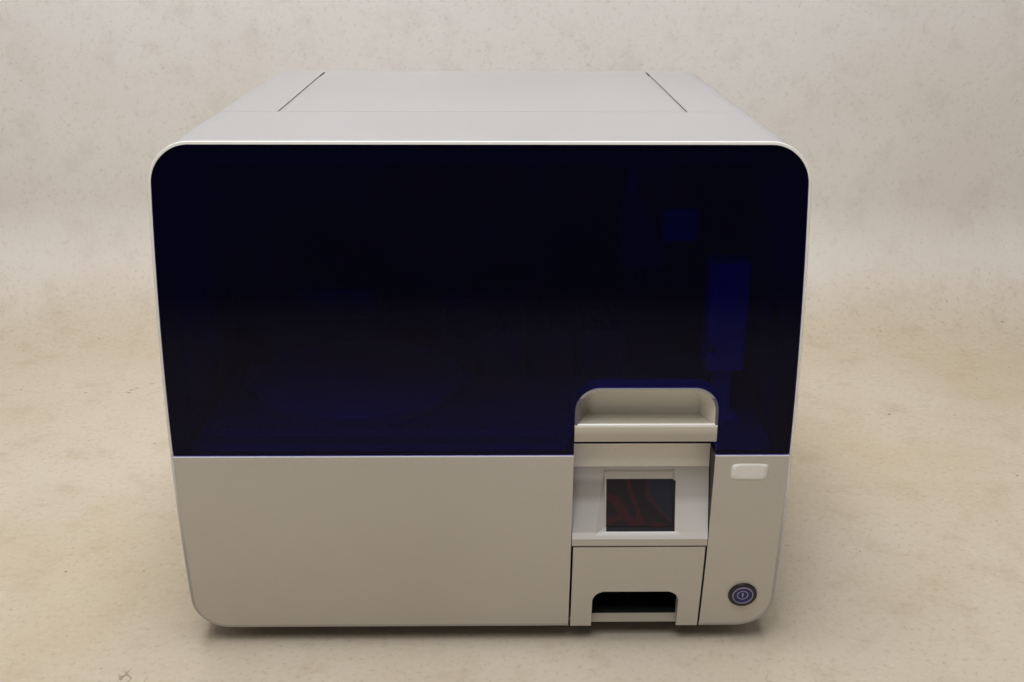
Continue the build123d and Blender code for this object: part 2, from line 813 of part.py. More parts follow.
beam_rear_y = beam_front_y + beam_depth
leg_inner = pan_half - frame_wall - bond_gap - leg_width
with BuildPart() as rear_frame:
    for side in (-1, 1):
        leg_x = sorted((side * leg_inner, side * (leg_inner + leg_width)))
        span_box(leg_x, (beam_front_y, beam_rear_y), (pan_z + pan_thickness + bond_gap, beam_top))
        hollow_x = sorted((side * (leg_inner - 1), side * (leg_inner + leg_width - beam_wall)))
        span_box(
            hollow_x,
            (beam_front_y + beam_wall, beam_rear_y - beam_wall),
            (pan_z + pan_thickness, beam_top - beam_height),
            Mode.SUBTRACT,
        )
    span_box((-leg_inner - 1, leg_inner + 1), (beam_front_y, beam_rear_y), (beam_top - beam_height, beam_top))
    span_box(
        (-leg_inner, leg_inner),
        (beam_front_y + beam_wall, beam_rear_y - beam_wall),
        (beam_top - beam_height - 1, beam_top - beam_wall),
        Mode.SUBTRACT,
    )

# ================================================================ worktable and chamber walls
bowl_flange = 5.0
chute_x = centred(disposal_x, disposal_width + 2 * chute_wall)
chute_y = centred(disposal_y, disposal_depth + 2 * chute_wall)
table_rear_y = bulkhead_y + 10
with BuildPart() as worktable:
    span_box((-table_half, table_half), (table_front_y, table_rear_y), (table_bottom, table_top))
    span_box(
        (column_left - skin - 1.5, column_right + skin + 1.5),
        (table_front_y - 1, bezel_back_y + 2),
        (table_bottom - 1, table_top + 1),
        Mode.SUBTRACT,
    )
    rod((rotor_x, rotor_y, 0), bowl_radius + 0.5, height, "z", Mode.SUBTRACT)
    span_box(
        (chute_x[0] - 0.5, chute_x[1] + 0.5),
        (chute_y[0] - 0.5, chute_y[1] + 0.5),
        (table_bottom - 1, table_top + 1),
        Mode.SUBTRACT,
    )

wall_base = table_top + bond_gap
drive_y = bulkhead_y - rail_depth + 2
cable_hole_z = (table_top + chamber_top) / 2 - 58.0
axle_holes = [(-pulley_x, pulley_z), (pulley_x, pulley_z)]
with BuildPart() as bulkhead:
    outer = chamber_half + chamber_wall
    span_box((-outer, outer), (bulkhead_y, bulkhead_y + bulkhead_wall), (wall_base, chamber_top))
    for side in (-1, 1):
        span_box(
            sorted((side * chamber_half, side * outer)),
            (chamber_front_y, bulkhead_y + bulkhead_wall / 2),
            (wall_base, chamber_top),
        )
    side_edges = edges().filter_by(Axis.X).group_by(Axis.Y)[0].group_by(Axis.Z)[-1]
    fillet(side_edges, 40)
    for x, z in axle_holes:
        rod((x, bulkhead_y - 1, z), axle_radius + running_gap, bulkhead_wall + 2, "y", Mode.SUBTRACT)
    with BuildSketch(section_plane(bulkhead_y + bulkhead_wall + 1)) as cable_holes:
        with Locations((-0.73 * chamber_half, cable_hole_z), (0.2 * chamber_half, cable_hole_z)):
            RectangleRounded(70, 30, 10)
    extrude(cable_holes.sketch, amount=bulkhead_wall + 2, mode=Mode.SUBTRACT)

with BuildPart() as sill:
    span_box(
        (sill_left, sill_right),
        (sill_front_y, sill_front_y + sill_depth),
        (wall_base, wall_base + sill_height),
    )
    fillet(edges().filter_by(Axis.Z), 6)
    fillet(faces().sort_by(Axis.Z)[-1].edges(), 2)
    with BuildSketch(Plane.XY.offset(wall_base + sill_height)) as grooves:
        with Locations(((sill_left + sill_right) / 2, sill_front_y + sill_depth / 2)):
            with GridLocations(62, 1, 6, 1):
                SlotOverall(48, 14)
    extrude(grooves.sketch, amount=-5, mode=Mode.SUBTRACT)

with BuildPart() as disposal_chute:
    chute_low = bay_top + 2
    span_box(chute_x, chute_y, (chute_low, table_top + 1))
    span_box(
        (chute_x[0] - 5, chute_x[1] + 5),
        (chute_y[0] - 5, chute_y[1] + 5),
        (wall_base, wall_base + 2),
    )
    span_box(
        centred(disposal_x, disposal_width),
        centred(disposal_y, disposal_depth),
        (chute_low - 1, table_top + 8),
        Mode.SUBTRACT,
    )

# ================================================================ hood lock
lock_wide = centred(lock_x, lock_width)
lock_deep = centred(lock_y, lock_depth)
lock_low = lock_z - 79
with BuildPart() as lock_housing:
    span_box(lock_wide, lock_deep, (lock_low, lock_top))
    fillet(edges().filter_by(Axis.Z), 5)
    fillet(faces().sort_by(Axis.Z)[-1].edges(), 2.5)
    span_box((lock_wide[0] + 12, lock_wide[1] - 12), centred(lock_y, 18), (wall_base, lock_low + 1))
    span_box((lock_wide[0] + 2, lock_wide[1] - 2), centred(lock_y, 34), (wall_base, wall_base + 4))
    bolt_start = lock_wide[1] + bolt_proud - bolt_length
    rod(
        (bolt_start - 2, lock_y, lock_z),
        bolt_radius + running_gap,
        bolt_length,
        "x",
        Mode.SUBTRACT,
    )
    # light-gate slot of the lid sensor
    span_box(
        (lock_wide[0] - 1, lock_wide[0] + sensor_slot),
        (lock_deep[0] - 1, lock_deep[0] + sensor_slot_depth),
        centred(lock_low + 24, sensor_slot),
        Mode.SUBTRACT,
    )

with BuildPart() as lock_bolt:
    rod((bolt_start, lock_y, lock_z), bolt_radius, bolt_length, "x")
    chamfer(edges().filter_by(GeomType.CIRCLE).sort_by(Axis.X)[-1], 1.5)

lining_x = width / 2 - frame_inset - frame_thickness
bracket_y = (front_y + frame_start + 34, front_y + frame_start + 34 + striker_wall)
with BuildPart() as striker:
    span_box(
        (striker_x, striker_x + striker_wall),
        (bracket_y[0], lock_y + striker_size / 2),
        centred(lock_z, striker_size),
    )
    span_box((striker_x, lining_x - bond_gap), bracket_y, centred(lock_z, striker_size))
    rod(
        (striker_x - 1, lock_y, lock_z),
        bolt_radius + 1,
        striker_wall + 2,
        "x",
        Mode.SUBTRACT,
    )

# ================================================================ centrifuge
bowl_base = bowl_floor - bowl_wall
lid_z = table_top + 2.3 + lid_gap
pin_x = rotor_x - lid_radius - 9
pin_z = lid_z + lid_thickness / 2
knuckle_radius = 6.0
with BuildPart() as centrifuge_bowl:
    rod((rotor_x, rotor_y, bowl_base), bowl_radius, table_top + 2 - bowl_base, "z")
    rod((rotor_x, rotor_y, wall_base), bowl_radius + bowl_flange, 2, "z")
    rod((rotor_x, rotor_y, bowl_floor), bowl_radius - bowl_wall, height, "z", Mode.SUBTRACT)
    rod((rotor_x, rotor_y, 0), shaft_radius + 2, bowl_floor + 1, "z", Mode.SUBTRACT)
    # two hinge cheeks for the lid
    for side in (-1, 1):
        cheek_y = centred(rotor_y + side * (lid_knuckle_width / 2 + 5), 8)
        with BuildPart(mode=Mode.PRIVATE) as cheek:
            span_box((pin_x - 7, pin_x + 14), cheek_y, (wall_base, pin_z))
            rod((pin_x, cheek_y[0], pin_z), 7, 8, "y")
            rod((rotor_x, rotor_y, 0), lid_radius + 2, height, "z", Mode.SUBTRACT)
            span_box((pin_x, pin_x + 30), cheek_y, (wall_base, wall_base + 2))
        add(cheek.part)
    pin_bore = lid_pin_radius + running_gap
    rod((pin_x, rotor_y - lid_radius, pin_z), pin_bore, 2 * lid_radius, "y", Mode.SUBTRACT)
    # keep the bowl clear after the cheeks' feet
    rod((rotor_x, rotor_y, bowl_floor), bowl_radius - bowl_wall, height, "z", Mode.SUBTRACT)

with BuildPart() as centrifuge_lid:
    rod((rotor_x, rotor_y, lid_z), lid_radius, lid_thickness, "z")
    fillet(edges().filter_by(GeomType.CIRCLE).sort_by(Axis.Z)[-1], 4)
    with BuildSketch(Plane.XY.offset(lid_z + lid_thickness)) as lid_dish:
        with Locations((rotor_x, rotor_y)):
            Circle(lid_radius - 18)
    extrude(lid_dish.sketch, amount=-3, taper=30, mode=Mode.SUBTRACT)
    rod((rotor_x, rotor_y, lid_z), 26, lid_thickness + 1, "z")
    # finger tab at the right and the knuckle at the left
    span_box((rotor_x, rotor_x + lid_radius + 12), centred(rotor_y, 34), (lid_z + 3, lid_z + 9))
    span_box((pin_x, rotor_x - lid_radius + 20), centred(rotor_y, lid_knuckle_width), (lid_z, lid_z + 9))
    rod(
        (pin_x, rotor_y - lid_knuckle_width / 2, pin_z),
        knuckle_radius,
        lid_knuckle_width,
        "y",
    )
    rod(
        (pin_x, rotor_y - lid_knuckle_width / 2 - 9, pin_z),
        lid_pin_radius,
        lid_knuckle_width + 18,
        "y",
    )

rotor_low = rotor_z
with BuildPart() as centrifuge_rotor:
    rod((rotor_x, rotor_y, rotor_low), rotor_radius, rotor_thickness, "z")
    bucket_gap = bucket_width + 2 * trunnion_length - 1.5
    with BuildSketch(Plane.XY.offset(rotor_low - 1)) as rotor_slots:
        with Locations((rotor_x, rotor_y)):
            with PolarLocations(bucket_circle + 8, bucket_count):
                Rectangle(bucket_depth + 20, bucket_width + 1.2)
    extrude(rotor_slots.sketch, amount=rotor_thickness + 2, mode=Mode.SUBTRACT)
    rod((rotor_x, rotor_y, rotor_low - 12), 20, rotor_thickness + 24, "z")
    fillet(faces().sort_by(Axis.Z)[-1].edges(), 4)
    rod((rotor_x, rotor_y, bowl_base - 8), shaft_radius, rotor_low - bowl_base, "z")

bucket_top = rotor_low + rotor_thickness + 3
with BuildPart() as centrifuge_buckets:
    with Locations((rotor_x, rotor_y, bucket_top)):
        with PolarLocations(bucket_circle, bucket_count):
            Box(
                bucket_depth - 2,
                bucket_width,
                bucket_height,
                align=(Align.CENTER, Align.CENTER, Align.MAX),
            )
            Box(
                bucket_depth - 6,
                bucket_width - 4,
                bucket_height - 3,
                align=(Align.CENTER, Align.CENTER, Align.MAX),
                mode=Mode.SUBTRACT,
            )
    # lugs that rest on the rotor's arms
    with Locations((rotor_x, rotor_y, rotor_low + rotor_thickness + bond_gap)):
        with PolarLocations(bucket_circle - 1, bucket_count):
            for side in (-1, 1):
                with Locations((0, side * (bucket_width / 2 + trunnion_length / 2), 0)):
                    Box(5, trunnion_length, 2.5, align=(Align.CENTER, Align.CENTER, Align.MIN))

with BuildPart() as centrifuge_motor:
    motor_top = bowl_base - bond_gap
    rod((rotor_x, rotor_y, motor_top - motor_height), motor_radius, motor_height, "z")
    fillet(edges().filter_by(GeomType.CIRCLE).sort_by(Axis.Z)[0], 6)
    with BuildSketch(Plane.XY.offset(motor_top - motor_height + 8)) as fins:
        with Locations((rotor_x, rotor_y)):
            with PolarLocations(motor_radius, 24):
                Rectangle(8, 4)
    extrude(fins.sketch, amount=motor_height - 20, mode=Mode.SUBTRACT)
    rod((rotor_x, rotor_y, motor_top - 10), shaft_radius + 0.4, 20, "z", Mode.SUBTRACT)

# ================================================================ shaker
shaker_wide = centred(shaker_x, shaker_width)
shaker_deep = centred(shaker_y, shaker_depth)
slide_z = wall_base + shaker_base_height + shaker_play
plate_z = slide_z + shaker_slide_height + shaker_play
with BuildPart() as shaker_base:
    span_box(shaker_wide, shaker_deep, (wall_base, wall_base + shaker_base_height))
    fillet(edges().filter_by(Axis.Z), 8)
    fillet(faces().sort_by(Axis.Z)[-1].edges(), 2)

with BuildPart() as shaker_slide:
    span_box(
        centred(shaker_x, shaker_width - 20),
        centred(shaker_y, shaker_depth - 20),
        (slide_z, slide_z + shaker_slide_height),
    )
    with BuildSketch(Plane.XY.offset(slide_z)) as slide_window:
        with Locations((shaker_x, shaker_y)):
            RectangleRounded(shaker_width - 60, shaker_depth - 50, 8)
    extrude(slide_window.sketch, amount=shaker_slide_height, mode=Mode.SUBTRACT)

with BuildPart() as shaker_block:
    span_box(
        centred(shaker_x, shaker_width - 6),
        centred(shaker_y, shaker_depth - 6),
        (plate_z, plate_z + shaker_plate_height),
    )
    fillet(edges().filter_by(Axis.Z), 8)
    span_box(
        centred(shaker_x, shaker_width - 18),
        centred(shaker_y, shaker_depth - 18),
        (plate_z + 1, plate_z + shaker_plate_height + tube_block_height),
    )
    fillet(faces().sort_by(Axis.Z)[-1].edges(), 2)
    with BuildSketch(Plane.XY.offset(plate_z + shaker_plate_height + tube_block_height)) as tubes:
        with Locations((shaker_x, shaker_y)):
            with GridLocations(tube_pitch, tube_pitch, 4, 3):
                Circle(tube_hole_radius)
    extrude(tubes.sketch, amount=-tube_block_height + 4, mode=Mode.SUBTRACT)

# ================================================================ racks
rack_base = wall_base + 0.2
reagent_wide = centred(reagent_x, 3 * reagent_pitch + 2 * rack_wall)
reagent_deep = centred(reagent_y, 2 * reagent_pitch + 2 * rack_wall)
bottle_spots = [
    (reagent_x + column * reagent_pitch, reagent_y + row * reagent_pitch)
    for column in (-1, 0, 1)
    for row in (-0.5, 0.5)
]
with BuildPart() as reagent_rack:
    span_box(reagent_wide, reagent_deep, (rack_base, rack_base + reagent_height))
    fillet(edges().filter_by(Axis.Z), 5)
    for x, y in bottle_spots:
        rod(
            (x, y, rack_base + reagent_floor),
            bottle_radius + 0.5,
            reagent_height,
            "z",
            Mode.SUBTRACT,
        )

with BuildPart() as reagent_bottles:
    for x, y in bottle_spots:
        bottle_low = rack_base + reagent_floor + bond_gap
        rod((x, y, bottle_low), bottle_radius, 46, "z")
        rod((x, y, bottle_low + 46), bottle_radius - 6, 8, "z")
        rod((x, y, bottle_low + 3), bottle_radius - 8, 60, "z", Mode.SUBTRACT)


def tip_rack(x):
    """Rack with square wells for filter tips, standing on the worktable at this x."""
    wide, deep = centred(x, tip_rack_width), centred(tip_rack_y, tip_rack_depth)
    span_box(wide, deep, (rack_base, rack_base + tip_rack_height))
    fillet(edges().filter_by(Axis.Z), 4)
    span_box(
        (wide[0] + rack_wall, wide[1] - rack_wall),
        (deep[0] + rack_wall, deep[1] - rack_wall),
        (rack_base - 1, rack_base + tip_rack_height - tip_deck),
        Mode.SUBTRACT,
    )
    with BuildSketch(Plane.XY.offset(rack_base + tip_rack_height)) as wells:
        with Locations((x, tip_rack_y)):
            with GridLocations(tip_pitch, tip_pitch, 4, 8):
                Rectangle(tip_hole, tip_hole)
    extrude(wells.sketch, amount=-2 * tip_deck, mode=Mode.SUBTRACT)


with BuildPart() as tip_rack_left:
    tip_rack(tip_rack_first_x)

with BuildPart() as tip_rack_middle:
    tip_rack(tip_rack_first_x + tip_rack_pitch)

with BuildPart() as tip_rack_right:
    tip_rack(tip_rack_first_x + 2 * tip_rack_pitch)

# ================================================================ pipetting gantry
rail_front_y = bulkhead_y - bond_gap - rail_depth
with BuildPart() as x_rail:
    span_box(
        (-rail_half, rail_half),
        (rail_front_y, bulkhead_y - bond_gap),
        (rail_z, rail_z + rail_height),
    )
    for groove_z in (rail_z, rail_z + rail_height):
        span_box(
            (-rail_half, rail_half),
            (rail_front_y + carriage_lip + 1, bulkhead_y - bond_gap - 1),
            centred(groove_z, 3),
            Mode.SUBTRACT,
        )

carriage_span = centred(carriage_x, carriage_width)
carriage_y = (rail_front_y - slide_gap - carriage_body, rail_front_y - slide_gap)
with BuildPart() as x_carriage:
    carriage_low, carriage_high = rail_z - slide_gap - 5, rail_z + rail_height + slide_gap + 5
    span_box(carriage_span, carriage_y, (carriage_low, carriage_high))
    for lip_z in (
        (carriage_low, carriage_low + 5),
        (carriage_high - 5, carriage_high),
    ):
        span_box(carriage_span, (carriage_y[1] - 1, carriage_y[1] + carriage_lip), lip_z)
    clamp_top = pulley_z - pulley_radius - belt_thickness - bond_gap
    span_box(
        (carriage_span[0] + 6, carriage_span[0] + 22),
        (drive_y + 1, carriage_y[1] + carriage_lip),
        (carriage_high - 1, clamp_top),
    )

arm_z = (carriage_low - 2, carriage_low - 2 + arm_beam_height)
arm_y = (carriage_y[0] - bond_gap - arm_beam_length, carriage_y[0] - bond_gap)
with BuildPart() as arm_beam:
    span_box(centred(carriage_x, arm_beam_width), arm_y, arm_z)
    span_box(
        centred(carriage_x, arm_beam_width - 8),
        (arm_y[0] + 4, arm_y[1] + 1),
        (arm_z[0] + 4, arm_z[1] - 4),
        Mode.SUBTRACT,
    )

sleeve_inner = slide_gap + sleeve_wall
sleeve_z = (arm_z[0] - sleeve_inner, arm_z[1] + sleeve_inner)
with BuildPart() as y_sleeve:
    span_box(
        centred(carriage_x, arm_beam_width + 2 * sleeve_inner),
        centred(head_y, sleeve_length),
        sleeve_z,
    )
    span_box(
        centred(carriage_x, arm_beam_width + 2 * slide_gap),
        centred(head_y, sleeve_length + 2),
        (arm_z[0] - slide_gap, arm_z[1] + slide_gap),
        Mode.SUBTRACT,
    )

head_high = sleeve_z[0] - bond_gap
with BuildPart() as head_cover:
    span_box(centred(carriage_x, head_width), centred(head_y, head_depth), (head_bottom, head_high))
    fillet(edges().filter_by(Axis.Z), 8)
    fillet(faces().sort_by(Axis.Z)[0].edges(), 2)
    span_box(
        centred(carriage_x, head_width - 2 * head_wall),
        centred(head_y, head_depth - 2 * head_wall),
        (head_bottom + head_wall, head_high + 1),
        Mode.SUBTRACT,
    )
    bore = pipette_radius + running_gap
    rod((carriage_x, head_y, head_bottom - 1), bore, head_wall + 2, "z", Mode.SUBTRACT)

with BuildPart() as pipette:
    rod((carriage_x, head_y, pipette_bottom + adapter_length), pipette_radius, 92, "z")
    rod((carriage_x, head_y, pipette_bottom), adapter_radius, adapter_length + 1, "z")
    chamfer(edges().filter_by(GeomType.CIRCLE).sort_by(Axis.Z)[0], 0.8)
    rod((carriage_x, head_y, pipette_bottom + adapter_length + 84), 14, 8, "z")

belt_y = (drive_y + 1, drive_y + 1 + belt_width)
with BuildPart() as x_belt:
    with BuildSketch(section_plane(belt_y[1])) as loop:
        with Locations((0, pulley_z)):
            SlotCenterToCenter(2 * pulley_x, 2 * (pulley_radius + belt_thickness))
            SlotCenterToCenter(2 * pulley_x, 2 * (pulley_radius + 0.1), mode=Mode.SUBTRACT)
    extrude(loop.sketch, amount=belt_width)


def pulley(x, axle_end):
    """Toothed belt pulley at this x with its axle, which runs back to axle_end."""
    rod((x, belt_y[0] - 0.6, pulley_z), pulley_radius, belt_width + 1.2, "y")
    rod((x, belt_y[0] - 1.6, pulley_z), pulley_radius + 1, 1, "y")
    with BuildSketch(section_plane(belt_y[1] + 0.6)) as teeth:
        with Locations((x, pulley_z)):
            with PolarLocations(pulley_radius, 20):
                Rectangle(1.6, 1.2)
    extrude(teeth.sketch, amount=belt_width + 1.2, mode=Mode.SUBTRACT)
    rod((x, belt_y[0] - 2, pulley_z), axle_radius, axle_end - belt_y[0] + 2, "y")


with BuildPart() as x_pulley_idler:
    pulley(-pulley_x, bulkhead_y + bulkhead_wall + 6)

with BuildPart() as x_pulley_drive:
    pulley(pulley_x, bulkhead_y + bulkhead_wall + 14)

with BuildPart() as x_motor:
    motor_y = bulkhead_y + bulkhead_wall + bond_gap
    motor_depth = (motor_y, motor_y + stepper_length)
    span_box(centred(pulley_x, stepper_size), motor_depth, centred(pulley_z, stepper_size))
    chamfer(edges().filter_by(Axis.Y), 4)
    rod(
        (pulley_x, motor_y - 1, pulley_z),
        axle_radius + running_gap,
        17,
        "y",
        Mode.SUBTRACT,
    )

# ================================================================ rear side
vent_slots = [vent_z + (row - (vent_count - 1) / 2) * vent_pitch for row in range(vent_count)]
bumper_spots = [(sx * bumper_x, z) for sx in (-1, 1) for z in (bumper_z, bumper_low_z)]
screw_x = width / 2 - 25.0
screw_spots = [(sx * screw_x, z) for sx in (-1, 1) for z in (80.0, 250.0, height - 90.0)]
screw_spots += [(sx * 0.4 * screw_x, z) for sx in (-1, 1) for z in (foot_height + 17.0, height - 18.0)]
plate_y = (cover_rear_y - 5, cover_rear_y - 2.5)
with BuildPart() as rear_panel:
    with BuildSketch(section_plane(plate_y[1])) as plate:
        cover_outline(edge_inset)
        with Locations((fan_x, fan_z)):
            Circle(fan_bore, mode=Mode.SUBTRACT)
            for ring_radius in (48.0, 34.0, 20.0):
                Circle(ring_radius)
                Circle(ring_radius - 10.5, mode=Mode.SUBTRACT)
            Circle(8)
            for angle in (45, -45):
                Rectangle(2 * fan_bore + 2, 4, rotation=angle)
        with Locations(*[(vent_x, z) for z in vent_slots]):
            SlotOverall(vent_length, vent_slot, mode=Mode.SUBTRACT)
        with Locations((inlet_x, inlet_z)):
            Rectangle(inlet_width + 1, inlet_height + 1, mode=Mode.SUBTRACT)
        with Locations(*screw_spots):
            Circle(screw_radius + 0.3, mode=Mode.SUBTRACT)
    extrude(plate.sketch, amount=plate_y[1] - plate_y[0])

with BuildPart() as screws:
    for x, z in screw_spots:
        screw((x, plate_y[1] + bond_gap, z), "y", screw_length, -1)

with BuildPart() as bumpers:
    for x, z in bumper_spots:
        rod((x, plate_y[1] + bond_gap, z), bumper_radius, rear_y - plate_y[1] - bond_gap, "y")
    fillet(edges().filter_by(GeomType.CIRCLE).group_by(Axis.Y)[-1], 2.5)

fan_front = plate_y[0] - bond_gap - fan_depth
with BuildPart() as fan_frame:
    span_box(
        centred(fan_x, fan_size),
        (fan_front, fan_front + fan_depth),
        centred(fan_z, fan_size),
    )
    fillet(edges().filter_by(Axis.Y), 6)
    rod((fan_x, fan_front - 1, fan_z), fan_bore, fan_depth + 2, "y", Mode.SUBTRACT)
    rod((fan_x, fan_front, fan_z), fan_hub_radius, 3, "y")
    with BuildSketch(section_plane(fan_front + 3)) as spokes:
        with Locations((fan_x, fan_z)):
            with PolarLocations((fan_bore + fan_hub_radius) / 2 - 2, 4, 20):
                Rectangle(fan_bore - fan_hub_radius + 8, 5)
    extrude(spokes.sketch, amount=3)
    rod((fan_x, fan_front + 2, fan_z), 3, 12, "y")

with BuildPart() as fan_rotor:
    hub_y = fan_front + 3 + 1.0
    rod((fan_x, hub_y, fan_z), fan_hub_radius, 19, "y")
    with BuildPart(mode=Mode.PRIVATE) as blade:
        with BuildSketch(Plane.XY.offset(fan_hub_radius - 2)) as blade_root:
            Rectangle(20, 1.8, rotation=40)
        extrude(blade_root.sketch, amount=fan_blade_radius - fan_hub_radius + 2)
    for count in range(fan_blades):
        turn = Location((fan_x, hub_y + 9.5, fan_z), (0, 360 / fan_blades * count, 0))
        add(blade.part.moved(turn))
    rod((fan_x, hub_y - 1, fan_z), 3 + running_gap, 12, "y", Mode.SUBTRACT)

with BuildPart() as power_inlet:
    span_box(
        centred(inlet_x, inlet_width + 10),
        (plate_y[1] + bond_gap, plate_y[1] + bond_gap + 2),
        centred(inlet_z, inlet_height + 12),
    )
    fillet(edges().filter_by(Axis.Y), 3)
    span_box(
        centred(inlet_x, inlet_width),
        (plate_y[1] - inlet_depth, plate_y[1] + 1),
        centred(inlet_z, inlet_height),
    )
    span_box(
        centred(inlet_x, inlet_width - 6),
        (plate_y[1] - inlet_depth + 3, plate_y[1] + 10),
        centred(inlet_z, inlet_height - 6),
        Mode.SUBTRACT,
    )
    for pin_shift in ((-7, -2), (0, 3), (7, -2)):
        span_box(
            centred(inlet_x + pin_shift[0], 2),
            (plate_y[1] - inlet_depth + 2, plate_y[1] - 5),
            centred(inlet_z + pin_shift[1], 5),
        )

supply_z = pan_z + pan_thickness + bond_gap
with BuildPart() as power_supply:
    supply_y = base_rear_y - 35.0 - supply_depth / 2
    supply_deep = centred(supply_y, supply_depth)
    supply_top = supply_z + supply_height
    span_box(centred(supply_x, supply_width), supply_deep, (supply_z, supply_top))
    with BuildSketch(Plane.XY.offset(supply_top)) as supply_slots:
        with Locations((supply_x, supply_y)):
            with GridLocations(supply_width / 3, supply_depth / 6, 3, 5):
                Rectangle(supply_width / 4, 6)
    extrude(supply_slots.sketch, amount=-3, mode=Mode.SUBTRACT)

board_y = bulkhead_y + bulkhead_wall + bond_gap
with BuildPart() as control_board:
    face_y = board_y + pillar_length + board_thickness
    half_wide, half_high = board_width / 2, board_height / 2
    board_deep = (board_y + pillar_length, face_y)
    span_box((-half_wide, half_wide), board_deep, centred(board_z, board_height))
    for x in (pillar_inset - half_wide, half_wide - pillar_inset):
        for z in (board_z + pillar_inset - half_high, board_z + half_high - pillar_inset):
            rod((x, board_y, z), 3.5, pillar_length + 1, "y")
    span_box(centred(-0.18 * board_width, 40), (face_y - 1, face_y + 3), centred(board_z + 5, 40))
    span_box(centred(0.145 * board_width, 24), (face_y - 1, face_y + 11), centred(board_z - 20, 50))
    with Locations((0, face_y + 4, board_z + half_high - 17)):
        with GridLocations(board_width / 5.5, 1, 4, 1):
            Box(14, 10, 16)

with BuildPart() as feet:
    for x, y in foot_spots:
        rod((x, y, 0), foot_radius, foot_height, "z")
    fillet(edges().filter_by(GeomType.CIRCLE).group_by(Axis.Z)[0], 3)

# ================================================================ hand-over
os.makedirs("parts", exist_ok=True)
pieces = {
    "cabinet_cover": cabinet_cover,
    "base_frame": base_frame,
    "rear_frame": rear_frame,
    "worktable": worktable,
    "bulkhead": bulkhead,
    "front_panel_left": front_panel_left,
    "front_panel_right": front_panel_right,
    "screen_bezel": screen_bezel,
    "touch_glass": touch_glass,
    "display_module": display_module,
    "button_ring": button_ring,
    "button_cap": button_cap,
    "drawer_front": drawer_front,
    "drawer_tray": drawer_tray,
    "drawer_bay": drawer_bay,
    "disposal_chute": disposal_chute,
    "hood_shell": hood_shell,
    "hood_window": hood_window,
    "hood_handle": hood_handle,
    "hood_frame": hood_frame,
    "hood_arm_left": hood_arm_left,
    "hood_arm_right": hood_arm_right,
    "hinge_shaft": hinge_shaft,
    "hinge_brackets": hinge_brackets,
    "striker": striker,
    "lock_housing": lock_housing,
    "lock_bolt": lock_bolt,
    "sill": sill,
    "centrifuge_bowl": centrifuge_bowl,
    "centrifuge_motor": centrifuge_motor,
    "centrifuge_rotor": centrifuge_rotor,
    "centrifuge_buckets": centrifuge_buckets,
    "centrifuge_lid": centrifuge_lid,
    "shaker_base": shaker_base,
    "shaker_slide": shaker_slide,
    "shaker_block": shaker_block,
    "reagent_rack": reagent_rack,
    "reagent_bottles": reagent_bottles,
    "tip_rack_left": tip_rack_left,
    "tip_rack_middle": tip_rack_middle,
    "tip_rack_right": tip_rack_right,
    "x_rail": x_rail,
    "x_carriage": x_carriage,
    "x_belt": x_belt,
    "x_pulley_drive": x_pulley_drive,
    "x_pulley_idler": x_pulley_idler,
    "x_motor": x_motor,
    "arm_beam": arm_beam,
    "y_sleeve": y_sleeve,
    "head_cover": head_cover,
    "pipette": pipette,
    "power_supply": power_supply,
    "control_board": control_board,
    "rear_panel": rear_panel,
    "fan_frame": fan_frame,
    "fan_rotor": fan_rotor,
    "power_inlet": power_inlet,
    "feet": feet,
    "bumpers": bumpers,
    "screws": screws,
}
for node, piece in pieces.items():
    piece.part.label = node
    export_step(piece.part, f"parts/{node}.step")
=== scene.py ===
"""Looks for the bench-top nucleic acid extractor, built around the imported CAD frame.

Metres, in the CAD frame: +Z up, the front faces -Y, +X to the right seen from the front.
"""
import math

import bmesh
import bpy
import numpy as np
from mathutils import Matrix, Vector


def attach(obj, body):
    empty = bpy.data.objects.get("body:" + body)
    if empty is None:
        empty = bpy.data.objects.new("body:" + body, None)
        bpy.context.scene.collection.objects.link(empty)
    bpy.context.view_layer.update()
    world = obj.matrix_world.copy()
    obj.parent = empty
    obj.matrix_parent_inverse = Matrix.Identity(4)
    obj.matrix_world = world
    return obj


scene = bpy.context.scene

# ------------------------------------------------------------------ camera
camera = bpy.data.objects.new("camera", bpy.data.cameras.new("camera"))
scene.collection.objects.link(camera)
scene.camera = camera
camera.data.sensor_width = 36.0
camera.data.lens = 39.9458
camera.data.clip_start = 0.02
camera.data.clip_end = 40.0
stand = Vector((0.014929, -1.383624, 0.767117))
pitch, yaw, roll = (math.radians(angle) for angle in (20.068576, 0.829757, 0.196987))
look = Vector((math.sin(yaw) * math.cos(pitch), math.cos(yaw) * math.cos(pitch), -math.sin(pitch)))
right = Vector((math.cos(yaw), -math.sin(yaw), 0))
up = right.cross(look)
right, up = (
    math.cos(roll) * right + math.sin(roll) * up,
    -math.sin(roll) * right + math.cos(roll) * up,
)
camera.matrix_world = Matrix.Translation(stand) @ Matrix(
    (
        (right.x, up.x, -look.x, 0),
        (right.y, up.y, -look.y, 0),
        (right.z, up.z, -look.z, 0),
        (0, 0, 0, 1),
    )
)

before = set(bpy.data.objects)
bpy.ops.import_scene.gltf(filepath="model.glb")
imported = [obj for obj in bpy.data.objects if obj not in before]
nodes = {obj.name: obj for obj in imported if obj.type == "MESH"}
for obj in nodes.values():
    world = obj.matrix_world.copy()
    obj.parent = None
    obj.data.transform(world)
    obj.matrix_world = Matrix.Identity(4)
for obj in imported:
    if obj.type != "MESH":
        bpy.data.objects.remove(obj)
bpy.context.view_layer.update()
scene.view_settings.view_transform = "Standard"

